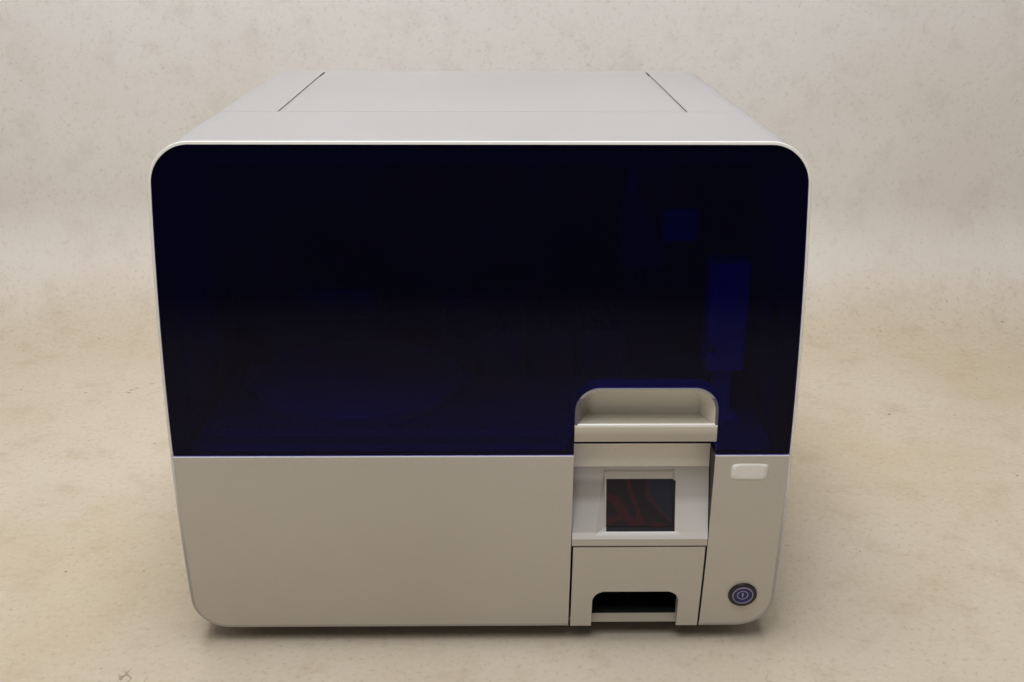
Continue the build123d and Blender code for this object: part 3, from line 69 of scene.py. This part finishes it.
# ------------------------------------------------------------------ places on the CAD model, metres
FRONT_Y = -0.310  # foremost line of the bowed front
BOW_RADIUS = 1.309
BOW_HEIGHT = 0.282  # z of that line
TRAY_FRONT = -0.277006
BUTTON = (0.289, -0.292224, 0.067)  # middle of the power button
BUTTON_OUT = 0.986419  # share of -Y in the direction the button faces
SCREEN = (0.1334, 0.2079, 0.1507, 0.2060)  # visible screen: x from, x to, z from, z to
FACE = (0.1432, 0.2214)  # z of the bezel's tilted face
BEZEL_TOP = 0.24835
PANEL_TOP = 0.2456
BAR_TOP = 0.2817  # the handle's bar is below, its hollow above
LABEL = (0.28175, 0.22715, 0.0200, 0.0098)  # middle x, middle z, half width, half height
BOTTLES = [(x, y, 0.2418) for x in (-0.036, 0.006, 0.048) for y in (0.105, 0.147)]
SCREWS = [(side * 0.300, 0.292, z) for side in (-1, 1) for z in (0.080, 0.250, 0.480)]
SCREWS += [(side * 0.120, 0.292, z) for side in (-1, 1) for z in (0.038, 0.552)]


# ------------------------------------------------------------------ shader helper
class Shade:
    """One output of a shader node, which can be used in sums with numbers and other outputs."""

    def __init__(self, tree, socket=None):
        self.tree = tree
        self.socket = socket

    def make(self, kind, settings=None, sockets=None, out=0):
        """New node of this kind: its settings are applied first, then its sockets are filled."""
        node = self.tree.nodes.new("ShaderNode" + kind)
        for name, value in (settings or {}).items():
            setattr(node, name, value)
        for name, value in (sockets or {}).items():
            target = node.inputs[name]
            if isinstance(value, Shade):
                self.tree.links.new(value.socket, target)
            else:
                target.default_value = value
        return Shade(self.tree, node.outputs[out])

    def maths(self, operation, *values):
        """Math node on numbers and outputs."""
        return self.make("Math", {"operation": operation}, dict(enumerate(values)))

    def __add__(self, other):
        return self.maths("ADD", self, other)

    def __radd__(self, other):
        return self.maths("ADD", other, self)

    def __sub__(self, other):
        return self.maths("SUBTRACT", self, other)

    def __rsub__(self, other):
        return self.maths("SUBTRACT", other, self)

    def __mul__(self, other):
        return self.maths("MULTIPLY", self, other)

    def __rmul__(self, other):
        return self.maths("MULTIPLY", other, self)

    def root(self):
        """Square root of this value."""
        return self.maths("SQRT", self)

    def off(self, middle):
        """Distance of this value from a middle, without its sign."""
        return self.maths("ABSOLUTE", self - middle)

    def ramp(self, low, high, start=0.0, end=1.0):
        """Smooth step of this value from low..high to start..end."""
        sockets = {"Value": self, "From Min": low, "From Max": high, "To Min": start, "To Max": end}
        return self.make("MapRange", {"interpolation_type": "SMOOTHSTEP"}, sockets)

    def below(self, edge, soft):
        """1 under edge, 0 above it, with a soft step."""
        return self.ramp(edge - soft, edge + soft, 1.0, 0.0)

    def above(self, edge, soft):
        """0 under edge, 1 above it, with a soft step."""
        return self.ramp(edge - soft, edge + soft, 0.0, 1.0)

    def noise(self, where, scale, detail=2.0, roughness=0.5, distortion=0.0):
        """Soft noise, about 0 to 1, with so many lumps a metre."""
        sockets = {
            "Vector": where,
            "Scale": scale,
            "Detail": detail,
            "Roughness": roughness,
            "Distortion": distortion,
        }
        return self.make("TexNoise", None, sockets)

    def mix(self, amount, first, second):
        """Colour between first and second."""
        return self.make("Mix", {"data_type": "RGBA"}, {0: amount, 6: first, 7: second}, out=2)

    def spot(self):
        """Object coordinates."""
        return self.make("TexCoord", out=3)

    def place(self):
        """Object coordinates, and their x, y and z."""
        where = self.spot()
        apart = self.tree.nodes.new("ShaderNodeSeparateXYZ")
        self.tree.links.new(where.socket, apart.inputs[0])
        return where, *[Shade(self.tree, socket) for socket in apart.outputs]

    def dimples(self, height, depth, strength=0.3):
        """Normal roughened by a height, to a depth in metres."""
        return self.make("Bump", None, {"Strength": strength, "Distance": depth, "Height": height})


def rgb(*levels):
    """Linear colour from three screen values, 0-255."""
    return (*[((v / 255 + 0.055) / 1.055) ** 2.4 if v > 10 else v / 3294.6 for v in levels], 1.0)


def scaled(colour, share):
    """The colour made lighter or darker, at most white."""
    return (*[min(1, c * share) for c in colour[:3]], 1.0)


def material(name, paint):
    """Material whose surface is what paint(shade) returns as a dict of Principled inputs."""
    made = bpy.data.materials.new(name)
    made.use_nodes = True
    tree = made.node_tree
    tree.nodes.clear()
    shade = Shade(tree)
    result = paint(shade)
    output = tree.nodes.new("ShaderNodeOutputMaterial")
    if isinstance(result, dict):
        result = shade.make("BsdfPrincipled", None, result)
    tree.links.new(result.socket, output.inputs["Surface"])
    return made


def grainy(colour, roughness, metallic=0.0, grain=900.0, depth=0.0001):
    """Paint recipe: fine bumps, slow drift in shade and a little uneven gloss."""

    def paint(shade):
        where = shade.spot()
        fine = shade.noise(where, grain, 2.0)
        slow = shade.noise(where, 5.0, 3.0)
        speck = shade.noise(where, 320.0, 1.0)
        dark = scaled(colour, 0.95)
        tone = shade.mix(slow.ramp(0.3, 0.7), dark, scaled(colour, 1.05))
        return {
            "Base Color": shade.mix(speck.ramp(0.35, 0.65) * 0.25, tone, dark),
            "Metallic": metallic,
            "Roughness": slow.ramp(0.3, 0.7, roughness - 0.04, roughness + 0.04),
            "Normal": shade.dimples(fine, depth, 0.35),
        }

    return paint


def brushed(colour, roughness, axis):
    """Metal recipe with fine scratches along an axis (0, 1 or 2)."""

    def paint(shade):
        where = shade.spot()
        stretch = [400.0, 400.0, 400.0]
        stretch[axis] = 8.0
        lines_at = shade.make("VectorMath", {"operation": "MULTIPLY"}, {0: where, 1: stretch})
        lines = shade.noise(lines_at, 1.0, 3.0)
        slow = shade.noise(where, 9.0, 2.0)
        return {
            "Base Color": shade.mix(lines.ramp(0.2, 0.8), scaled(colour, 0.85), colour),
            "Metallic": 1.0,
            "Roughness": slow.ramp(0.3, 0.7, roughness - 0.05, roughness + 0.07),
            "Normal": shade.dimples(lines, 0.0002, 0.15),
        }

    return paint


def spray(shade, where, colour):
    """Sprayed silver lacquer: slow clouds in its shade and metal flakes too fine to count."""
    slow = shade.noise(where, 4.0, 3.0)
    flake = shade.noise(where, 700.0, 1.0)
    dark = scaled(colour, 0.965)
    tone = shade.mix(slow.ramp(0.3, 0.7), dark, scaled(colour, 1.035))
    return shade.mix(flake.ramp(0.4, 0.7) * 0.3, tone, scaled(dark, 0.93)), slow


def bow_depth(y, z):
    """How far a point lies behind the bowed front, an arc about a line along X."""
    drop = z - BOW_HEIGHT
    return y - (FRONT_Y + BOW_RADIUS) + (BOW_RADIUS**2 - drop * drop).root()


def cover_paint(shade):
    """Lacquer of the two covers, with a painted highlight along the rim that frames the front, fading
    out towards the bottom.
    """
    where, x, y, z = shade.place()
    tone, slow = spray(shade, where, rgb(172, 170, 171))
    # painted highlight: the front rim is made near white, weaker towards the bottom
    rim = bow_depth(y, z).below(0.0022, 0.0006) * z.ramp(0.10, 0.27, 0.15, 1.0)
    grain = shade.noise(where, 1300.0, 2.0)
    return {
        "Base Color": shade.mix(rim, tone, rgb(244, 242, 238)),
        "Metallic": 0.06,
        "Roughness": slow.ramp(0.3, 0.7, 0.46, 0.54),
        "Specular IOR Level": 0.3,
        "Normal": shade.dimples(grain, 0.0001),
    }


def across_screen(x, spread):
    """1 between the sides of the screen, each moved outwards by spread."""
    return (x + spread).above(SCREEN[0], 0.0003) * (x - spread).below(SCREEN[1], 0.0003)


def handle_paint(shade):
    """Handle: beige bar with painted shading that lightens towards its upper lip and a painted
    highlight along that lip, a hollow over it painted light with painted shade on its left side, and a
    thin dark rim in front.
    """
    where, x, y, z = shade.place()
    lacquer, slow = spray(shade, where, rgb(188, 181, 170))
    # painted shading: the bar's flat front is made lighter towards its top, as a rounded front would be
    # lit
    bar = shade.mix(z.ramp(0.268, 0.2800), lacquer, rgb(222, 216, 204))
    # painted highlight: a near-white line along the bar's upper edge
    bar = shade.mix(z.above(0.2794, 0.0003), bar, rgb(255, 253, 250))
    # the floor behind the bar's front keeps a plain beige, without the painted highlight
    bar = shade.mix(y.above(-0.3078, 0.0004), bar, rgb(202, 197, 184))
    # painted light and shade: the hollow is made much lighter than the lacquer, with painted shade on
    # its left side
    hollow = shade.mix(x.below(0.110, 0.010), rgb(240, 236, 228), rgb(150, 148, 154))
    behind = bow_depth(y, z)
    rim = shade.mix(z.above(0.3115, 0.001), rgb(112, 108, 118), rgb(176, 172, 172))
    upper = shade.mix(behind.above(0.0009, 0.0003), rim, hollow)
    grain = shade.noise(where, 1300.0, 2.0)
    return {
        "Base Color": shade.mix(z.above(BAR_TOP, 0.0001), bar, upper),
        "Metallic": 0.08,
        "Roughness": slow.ramp(0.3, 0.7, 0.34, 0.42),
        "Normal": shade.dimples(grain, 0.00006),
    }


def panel_paint(shade):
    """Lacquer of the lower front, with a painted highlight along its folded top edge and painted shade
    on the faces set back in the gaps.
    """
    where, x, y, z = shade.place()
    tone, slow = spray(shade, where, rgb(206, 201, 193))
    behind = bow_depth(y, z)
    # painted highlight: the folded top edge is made near white
    fold_highlight = z.above(PANEL_TOP, 0.0003) * behind.below(0.0022, 0.0003)
    # painted shade: faces more than 1.6 mm behind the front, in the gaps, are made dark
    tone = shade.mix(behind.above(0.0016, 0.0004), tone, rgb(52, 49, 46))
    grain = shade.noise(where, 1300.0, 2.0)
    return {
        "Base Color": shade.mix(fold_highlight, tone, rgb(255, 254, 252)),
        "Metallic": 0.12,
        "Roughness": slow.ramp(0.3, 0.7, 0.42, 0.5),
        "Normal": shade.dimples(grain, 0.0001),
    }


def bezel_paint(shade):
    """Screen surround: beige lacquer above and below, painted lighter on the upper strip as painted
    light, with its top face painted near black as painted shade;
    smooth grey plastic on the tilted face with a painted reflection, a black border close to the glass,
    and a painted highlight as a white line and a pale chamfer under it."""
    where, x, y, z = shade.place()
    lacquer, slow = spray(shade, where, rgb(254, 249, 243))
    # painted light: the lacquer above z 0.2 is made much lighter than the same lacquer below
    lacquer = shade.mix(z.above(0.2, 0.01), rgb(204, 198, 190), lacquer)
    # painted shade: the top face, in the gap, is made near black
    lacquer = shade.mix(z.above(BEZEL_TOP, 0.0001), lacquer, rgb(14, 13, 14))
    tilted = z.above(FACE[0], 0.0004) * z.below(FACE[1], 0.0004)
    # painted reflection on the tilted face: darker on the left and above, lighter on the right, below
    # and just above the screen
    upper = shade.mix(x.ramp(0.11, 0.23), rgb(174, 170, 167), rgb(204, 201, 199))
    lower = shade.mix(x.ramp(0.11, 0.23), rgb(204, 203, 204), rgb(228, 227, 228))
    upper = shade.mix(z.above(0.2075, 0.004), upper, rgb(206, 202, 197))
    plastic = shade.mix(z.below(0.186, 0.006), upper, lower)
    foot = FACE[0] + 0.0002
    # painted highlight: the chamfer under the screen is made pale
    under = z.below(0.1506, 0.0005) * z.above(foot, 0.0003)
    plastic = shade.mix(under * across_screen(x, 0.045 - (z - foot) * 0.9), plastic, rgb(232, 231, 231))
    border = z.below(SCREEN[3], 0.0003) * z.above(SCREEN[2], 0.0003) * across_screen(x, 0.0)
    plastic = shade.mix(border, plastic, rgb(30, 26, 30))
    # painted highlight: a white line just under the screen
    line = z.below(SCREEN[2] - 0.0001, 0.0001) * z.above(SCREEN[2] - 0.0011, 0.0001)
    plastic = shade.mix(line * across_screen(x, 0.0015), plastic, rgb(254, 254, 254))
    grain = shade.noise(where, 1300.0, 2.0)
    return {
        "Base Color": shade.mix(tilted, lacquer, plastic),
        "Metallic": 0.08,
        "Roughness": slow.ramp(0.3, 0.7, 0.42, 0.5) - tilted * 0.16,
        "Normal": shade.dimples(grain, 0.00008),
    }


def tray_paint(shade):
    """Waste tray: a light folded lip in front; inside and behind it is painted near black as painted
    shade.
    """
    where, x, y, z = shade.place()
    lip = y.below(TRAY_FRONT + 0.0006, 0.0003)
    grain = shade.noise(where, 500.0, 2.0)
    return {
        # painted shade: all but the lip is near black
        "Base Color": shade.mix(lip, rgb(46, 50, 52), rgb(186, 184, 172)),
        "Roughness": 0.5 - lip * 0.1 + grain * 0.06,
        "Normal": shade.dimples(grain, 0.0001),
    }


def ring_paint(shade):
    """Button ring: black plastic with a thin silver lip next to the cap."""
    where, x, y, z = shade.place()
    across, rise = x - BUTTON[0], (z - BUTTON[2]) * (1 / BUTTON_OUT)
    reach = (across * across + rise * rise).root()
    lip = reach.above(0.0101, 0.0001) * reach.below(0.0117, 0.0001)
    grain = shade.noise(where, 900.0, 2.0)
    return {
        "Base Color": shade.mix(lip, rgb(22, 21, 26), rgb(158, 152, 190)),
        "Metallic": lip * 0.4,
        "Roughness": 0.4 - lip * 0.12 + grain * 0.05,
    }


def window_paint(shade):
    """Tinted sheet: mostly lets violet light through, with a dark gloss over it."""
    smear = shade.noise(shade.spot(), 7.0, 4.0, 0.6)
    sheet = {
        "Base Color": shade.mix(smear.ramp(0.4, 0.7), rgb(9, 8, 29), rgb(10, 9, 34)),
        "Roughness": smear.ramp(0.35, 0.75, 0.03, 0.08),
        "IOR": 1.5,
        "Specular IOR Level": 0.3,
    }
    gloss = shade.make("BsdfPrincipled", None, sheet)
    tint = shade.make("BsdfTransparent", None, {"Color": (0.18, 0.11, 0.90, 1.0)})
    return shade.make("MixShader", None, {0: 0.42, 1: tint, 2: gloss})


def screen_paint(shade):
    """Dark glass over an idle display with faint reddish and bluish arcs, framed in grey plastic
    painted as light as the bezel just above the screen, painted light.
    """
    where, x, y, z = shade.place()
    swirl = shade.noise(where, 13.0, 1.0, 0.4, 1.2)
    bands = shade.maths("SINE", swirl * 34.0)
    warm = shade.mix(bands.ramp(0.1, 1.0), rgb(50, 45, 50), rgb(72, 46, 50))
    tone = shade.mix(swirl.ramp(0.5, 0.7) * 0.6, warm, rgb(52, 58, 72))
    inside = z.below(SCREEN[3], 0.0003) * across_screen(x, 0.0)
    return {
        # painted light: the plastic frame is as light as the bezel's face just above the screen
        "Base Color": shade.mix(inside, rgb(206, 202, 197), tone),
        "Roughness": 0.32 - inside * 0.24,
        "IOR": 1.5,
        "Coat Weight": inside * 0.3,
    }


# ------------------------------------------------------------------ finishes of the CAD nodes
cover_lacquer = material("cover_lacquer", cover_paint)
panel_lacquer = material("panel_lacquer", panel_paint)
bezel_finish = material("bezel_finish", bezel_paint)
handle_finish = material("handle_finish", handle_paint)
window_sheet = material("window_sheet", window_paint)
dark_frame = material("dark_frame", grainy(rgb(38, 37, 42), 0.5, grain=700.0))
deep_black = material("deep_black", grainy(rgb(16, 16, 18), 0.55, grain=700.0))
ring_finish = material("ring_finish", ring_paint)
steel = material("plated_steel", brushed(rgb(180, 180, 178), 0.34, 0))
steel_up = material("plated_steel_up", brushed(rgb(176, 176, 174), 0.36, 2))
aluminium = material("turned_aluminium", brushed(rgb(200, 200, 202), 0.28, 1))
table_paint = material("table_paint", grainy(rgb(150, 150, 156), 0.38, grain=500.0))
moulded = material("moulded_light", grainy(rgb(196, 196, 200), 0.42, grain=350.0, depth=0.00006))
lock_white = material("lock_white", grainy(rgb(242, 242, 248), 0.4, grain=350.0, depth=0.00005))
tray_finish = material("tray_finish", tray_paint)
tip_blue = material("tip_blue", grainy(rgb(70, 100, 150), 0.35, grain=350.0, depth=0.00006))
bottle_white = material("bottle_white", grainy(rgb(210, 210, 205), 0.4, grain=300.0, depth=0.00005))
board_green = material("board_green", grainy(rgb(30, 80, 50), 0.4, grain=260.0))
rubber = material("rubber_black", grainy(rgb(22, 22, 22), 0.7, grain=500.0))
cap_blue = material("cap_blue", grainy(rgb(24, 27, 98), 0.25, grain=200.0, depth=0.00002))
screen = material("screen_glass", screen_paint)

finish = {
    cover_lacquer: ["cabinet_cover", "hood_shell"],
    panel_lacquer: ["front_panel_left", "front_panel_right", "drawer_front"],
    bezel_finish: ["screen_bezel"],
    handle_finish: ["hood_handle"],
    window_sheet: ["hood_window"],
    dark_frame: ["hood_frame", "bulkhead", "fan_frame", "fan_rotor", "striker"],
    deep_black: ["display_module", "power_inlet", "lock_bolt"],
    ring_finish: ["button_ring"],
    steel: ["hinge_shaft", "x_rail", "screws", "hinge_brackets", "rear_frame"],
    steel_up: ["base_frame", "drawer_bay", "power_supply", "hood_arm_left", "hood_arm_right"],
    aluminium: [
        "centrifuge_bowl",
        "centrifuge_rotor",
        "centrifuge_motor",
        "shaker_slide",
        "shaker_block",
        "x_carriage",
        "arm_beam",
        "y_sleeve",
        "x_pulley_drive",
        "x_pulley_idler",
        "x_motor",
        "pipette",
    ],
    table_paint: ["worktable", "sill", "disposal_chute", "shaker_base"],
    lock_white: ["lock_housing"],
    moulded: ["head_cover", "reagent_rack", "centrifuge_lid", "rear_panel"],
    tray_finish: ["drawer_tray"],
    tip_blue: ["tip_rack_left", "tip_rack_middle", "tip_rack_right"],
    bottle_white: ["reagent_bottles", "centrifuge_buckets"],
    board_green: ["control_board"],
    rubber: ["x_belt", "feet", "bumpers"],
    cap_blue: ["button_cap"],
    screen: ["touch_glass"],
}
for paint, names in finish.items():
    for name in names:
        nodes[name].data.materials.clear()
        nodes[name].data.materials.append(paint)


# ------------------------------------------------------------------ stage and light
def put_mesh(name, points, faces, paint):
    """Smooth object at the origin from arrays of points and faces; points that coincide are joined."""
    mesh = bpy.data.meshes.new(name)
    mesh.from_pydata(points.reshape(-1, 3).tolist(), [], faces.tolist())
    work = bmesh.new()
    work.from_mesh(mesh)
    bmesh.ops.remove_doubles(work, verts=work.verts, dist=1e-7)
    work.to_mesh(mesh)
    work.free()
    mesh.polygons.foreach_set("use_smooth", np.ones(len(mesh.polygons), bool))
    mesh.update()
    made = bpy.data.objects.new(name, mesh)
    scene.collection.objects.link(made)
    mesh.materials.append(paint)
    return made


def lattice(rows, columns, wrap=False):
    """Quads between neighbours of a grid of points; wrap joins its last column to its first."""
    index = np.arange(rows * columns).reshape(rows, columns)
    if wrap:
        index = np.column_stack([index, index[:, 0]])
    corners = [index[:-1, :-1], index[:-1, 1:], index[1:, 1:], index[1:, :-1]]
    return np.stack(corners, -1).reshape(-1, 4)


def turned(profile, steps):
    """Surface of revolution: a profile (r, h) becomes (r cos t, r sin t, h) for t round the circle."""
    radius, height = np.array(profile, float).T
    turn = np.linspace(0, 2 * math.pi, steps, endpoint=False)
    shape = (len(radius), steps)
    ring = [radius[:, None] * np.cos(turn), radius[:, None] * np.sin(turn)]
    points = np.stack([*ring, np.broadcast_to(height[:, None], shape)], -1)
    return points.reshape(-1, 3), lattice(*shape, wrap=True)


def copies(points, faces, places):
    """The same shape at many places: every place adds its own offset to every point."""
    shift = np.asarray(places, float)
    many = (shift[:, None, :] + points[None]).reshape(-1, 3)
    step = np.arange(len(shift))[:, None, None] * len(points)
    return many, (faces[None] + step).reshape(-1, faces.shape[1])


PALE = rgb(214, 206, 194)  # what is seen past the cloth


def cloth_paint(shade):
    """Backdrop cloth: cool on the wall and painted lighter towards the top as painted light, warmer on
    the floor, speckled, with small cracks.
    It is clear from behind, so that the back of the machine can be seen past it, and far away it
    fades into the pale surroundings."""
    where, x, y, z = shade.place()
    wall = z.above(0.07, 0.09)
    blotch = shade.noise(where, 1.6, 4.0, 0.6)
    small = shade.noise(where, 17.0, 4.0, 0.62)
    speck = shade.noise(where, 120.0, 3.0, 0.75)
    weave = shade.noise(where, 700.0, 2.0)
    floor_tone = shade.mix(blotch.ramp(0.35, 0.65), rgb(198, 184, 160), rgb(205, 194, 177))
    low_wall = shade.mix(blotch.ramp(0.35, 0.65), rgb(228, 221, 213), rgb(236, 232, 228))
    # painted light: the wall is made lighter towards the top
    wall_tone = shade.mix(z.ramp(0.1, 1.2), low_wall, rgb(252, 251, 254))
    tone = shade.mix(wall, floor_tone, wall_tone)
    stain = small.ramp(0.48, 0.75)
    tone = shade.mix(stain * (1 - wall) * 0.45, tone, rgb(184, 168, 140))
    tone = shade.mix(stain * wall * 0.16, tone, rgb(186, 172, 156))
    tone = shade.mix(speck.ramp(0.52, 0.75) * (0.55 - wall * 0.3), tone, rgb(168, 154, 132))
    tone = shade.mix(speck.ramp(0.45, 0.2) * 0.4, tone, rgb(226, 220, 210))
    crumb = shade.noise(where, 75.0, 1.0).above(0.79, 0.015) * (1 - wall)
    tone = shade.mix(crumb * 0.7, tone, rgb(116, 102, 86))
    crack = shade.noise(where, 16.0, 2.0, 0.5, 0.6) - 0.5
    thin = (crack * crack).below(0.00002, 0.000015) * shade.noise(where, 7.0, 1.0).above(0.70, 0.02)
    tone = shade.mix(thin * (1 - wall) * 0.6, tone, rgb(120, 104, 84))
    finish = {
        "Base Color": tone,
        "Roughness": 0.92,
        "Specular IOR Level": 0.2,
        "Normal": shade.dimples(weave + small * 4.0, 0.0005),
    }
    cloth = shade.make("BsdfPrincipled", None, finish)
    clear = shade.make("BsdfTransparent", None, {"Color": (1.0, 1.0, 1.0, 1.0)})
    back = shade.make("NewGeometry", out=6)
    cloth = shade.make("MixShader", None, {0: back, 1: cloth, 2: clear})
    far = (x * x + y * y).above(9.0, 5.0) * shade.make("LightPath")
    haze = shade.make("Emission", None, {"Color": PALE, "Strength": 1.0})
    return shade.make("MixShader", None, {0: far, 1: cloth, 2: haze})


def backdrop():
    """Cloth along the floor that turns up behind: y = bend + radius sin a, z = radius (1 - cos a)
    for a from 0 to 90 degrees, with a straight run before it and after it. A flat sheet goes on
    behind it."""
    half, front, bend, radius, top, rear = 4.5, -4.5, 0.62, 0.25, 4.0, 6.0
    turn = np.linspace(0, math.pi / 2, 26)[1:-1]
    run, rise = np.linspace(front, bend, 40), np.linspace(radius, top, 20)
    y = np.concatenate([run, bend + radius * np.sin(turn), np.full(len(rise), bend + radius)])
    z = np.concatenate([np.zeros(len(run)), radius * (1 - np.cos(turn)), rise])
    across = np.linspace(-half, half, 60)
    points = np.stack(np.broadcast_arrays(across, y[:, None], z[:, None]), -1)
    back = np.linspace(bend, rear, 40)
    behind = np.stack(np.broadcast_arrays(across, back[:, None], -0.0003), -1)
    cloth = material("backdrop_cloth", cloth_paint)
    return (
        put_mesh("backdrop", points, lattice(len(y), len(across)), cloth),
        put_mesh("floor_behind", behind, lattice(len(back), len(across)), cloth),
    )


for cloth_piece in backdrop():
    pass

world = bpy.data.worlds.new("studio")
scene.world = world
world.use_nodes = True
sky = Shade(world.node_tree)
soft_light = world.node_tree.nodes["Background"]
soft_light.inputs[0].default_value = (1.0, 0.985, 0.965, 1.0)
soft_light.inputs[1].default_value = 0.06
pale = sky.make("Background", None, {"Color": PALE, "Strength": 1.0})
seen = sky.make("LightPath")
dim = Shade(world.node_tree, soft_light.outputs[0])
studio = sky.make("MixShader", None, {0: seen, 1: dim, 2: pale})
world.node_tree.links.new(studio.socket, world.node_tree.nodes["World Output"].inputs[0])


def lamp(name, where, target, size, power, colour):
    """Soft square lamp that faces target."""
    data = bpy.data.lights.new(name, "AREA")
    data.shape = "SQUARE"
    data.size = size
    data.energy = power
    data.color = colour
    made = bpy.data.objects.new(name, data)
    scene.collection.objects.link(made)
    direction = Vector(target) - Vector(where)
    made.rotation_euler = direction.to_track_quat("-Z", "Y").to_euler()
    made.location = where


lamp("overhead", (-0.1, -1.0, 3.2), (0, -0.2, 0.2), 1.4, 33.0, (1.0, 0.985, 0.96))
lamp("front_fill", (-0.3, -2.1, 3.3), (0, 0.1, 0.3), 1.4, 31.5, (1.0, 0.98, 0.95))
lamp("wall_wash", (-0.3, -0.1, 3.0), (-0.1, 0.9, 0.9), 1.6, 37.0, (1.0, 0.985, 0.97))


# ------------------------------------------------------------------ small pieces on the front
def bow_y(z):
    """Y of the bowed front at height z: an arc about a line along X."""
    return FRONT_Y + BOW_RADIUS - np.sqrt(BOW_RADIUS**2 - (z - BOW_HEIGHT) ** 2)


def squircle(steps, power):
    """Rounded outline: sgn(cos t) |cos t|^(2/n) and sgn(sin t) |sin t|^(2/n) for t round the circle."""
    turn = np.linspace(0, 2 * math.pi, steps, endpoint=False)
    return [np.sign(part) * np.abs(part) ** (2 / power) for part in (np.cos(turn), np.sin(turn))]


def label_paint(shade):
    """Blank off-white film with a thin darker edge."""
    where, x, y, z = shade.place()
    side = x.off(LABEL[0]).above(LABEL[2] - 0.0011, 0.0002)
    top = z.off(LABEL[1]).above(LABEL[3] - 0.0011, 0.0002)
    edge = shade.maths("MAXIMUM", side, top)
    fibre = shade.noise(where, 900.0, 2.0)
    tone = shade.mix(fibre.ramp(0.3, 0.7), rgb(244, 243, 240), rgb(252, 251, 250))
    return {"Base Color": shade.mix(edge * 0.2, tone, rgb(128, 122, 108)), "Roughness": 0.45}


def blank_label():
    """Rounded film on the bow: a squircle with n = 5, shrunk ring by ring to the middle, in front and
    behind, and pushed out along -Y."""
    across, rise = squircle(96, 5)
    ring = np.array([0.0, 0.35, 0.7, 1.0, 1.0, 0.7, 0.35, 0.0])
    proud = np.array([0.05, 0.05, 0.05, 0.05, 0.22, 0.24, 0.24, 0.24]) / 1000
    x = LABEL[0] + LABEL[2] * ring[:, None] * across
    z = LABEL[1] + LABEL[3] * ring[:, None] * rise
    points = np.stack([x, bow_y(z) - proud[:, None], z], -1)
    film = material("label_film", label_paint)
    return put_mesh("blank_label", points, lattice(len(ring), len(across), True), film)


def on_button(points):
    """Points drawn flat (x right, y up, z out) moved onto the face of the power button."""
    out = np.array([0.0, -BUTTON_OUT, -math.sqrt(1 - BUTTON_OUT**2)])
    up = np.array([0.0, out[2], -out[1]])
    right = np.array([1.0, 0.0, 0.0])
    return np.array(BUTTON) + points[:, :1] * right + points[:, 1:2] * up + points[:, 2:] * out


def power_mark():
    """Printed mark on the button: a closed ring turned about the button's axis, and an upright bar
    whose outline is a squircle with n = 5."""
    face, print_height, low, high = 0.0018, 0.00008, 0.0053, 0.0062
    top = face + print_height
    ring, ring_faces = turned([(low, face), (high, face), (high, top), (low, top), (low, face)], 64)
    across, rise = squircle(40, 5)
    rim = np.array([[0.0], [1.0], [1.0], [0.0]])
    level = np.array([[face], [face], [top], [top]])
    bar = np.stack(np.broadcast_arrays(0.0007 * rim * across, 0.0033 * rim * rise, level), -1)
    points = np.concatenate([ring, bar.reshape(-1, 3)])
    faces = np.concatenate([ring_faces, lattice(len(rim), len(across), True) + len(ring)])
    white = material("print_white", grainy(rgb(170, 173, 206), 0.4, grain=800.0, depth=0.00001))
    return put_mesh("power_mark", on_button(points), faces, white)


def handle_lip():
    """Rounded bead along the bar of the handle: a circle (y, z) carried along x, drawn in to nothing
    at both ends by r = R sqrt(1 - e^2), where e runs from 0 to 1 over the last stretch, R long."""
    left, right, radius = 0.0967, 0.2431, 0.0016
    reach = np.sin(np.linspace(0, math.pi / 2, 6))
    x = np.concatenate([left + radius * (1 - reach[::-1]), right - radius * (1 - reach)])
    size = radius * np.sqrt(1 - np.concatenate([reach[::-1], reach]) ** 2)
    turn = np.linspace(0, 2 * math.pi, 20, endpoint=False)
    y = FRONT_Y + 0.00165 + size[:, None] * np.cos(turn)
    z = 0.2811 + size[:, None] * np.sin(turn)
    points = np.stack([np.broadcast_to(x[:, None], y.shape), y, z], -1)
    # painted highlight: the bead is near white to stand for the bright top edge of the bar
    pale = material("lip_painted_highlight", grainy(rgb(254, 253, 251), 0.3, grain=900.0, depth=0.00003))
    return put_mesh("handle_lip", points, lattice(len(x), len(turn), True), pale)


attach(handle_lip(), "hood")
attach(blank_label(), "cabinet")
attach(power_mark(), "button")


# ------------------------------------------------------------------ on the deck
def neck_threads():
    """Two ridges round every bottle neck: a circle (r, z) turned about the bottle's axis."""
    neck, height, ridge_radius, pitch = 0.0121, 0.0486, 0.0006, (0, 0, 0.0030)
    turn = np.linspace(0, 2 * math.pi, 13)
    ridge = np.stack([neck + ridge_radius * np.cos(turn), height + ridge_radius * np.sin(turn)], -1)
    places = np.concatenate([np.array(BOTTLES), np.array(BOTTLES) + pitch])
    points, faces = copies(*turned(ridge, 40), places)
    return put_mesh("neck_threads", points, faces, bottle_white)


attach(neck_threads(), "reagents")


# ------------------------------------------------------------------ small pieces on the back
def screw_sockets():
    """Six-lobed sockets in the screw heads: a shallow closed dish with r = a + b cos 6t, painted dark
    as painted shade for the socket's hollow.
    """
    turn = np.linspace(0, 2 * math.pi, 48, endpoint=False)
    lobes = 0.00175 + 0.00038 * np.cos(6 * turn)
    reach = np.array([[0.0], [1.0], [1.0], [0.8], [0.0]])
    proud = np.array([[0.0], [0.0], [0.00003], [0.00002], [0.000015]])
    x, z = reach * lobes * -np.cos(turn), reach * lobes * np.sin(turn)
    dish = np.stack(np.broadcast_arrays(x, proud, z), -1).reshape(-1, 3)
    points, faces = copies(dish, lattice(len(reach), len(turn), True), SCREWS)
    # painted shade: the dish is dark to stand for the shaded hollow of the socket
    dark = material("socket_painted_shade", grainy(rgb(40, 40, 42), 0.5, metallic=0.6, grain=600.0))
    return put_mesh("screw_sockets", points, faces, dark)


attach(screw_sockets(), "cabinet")
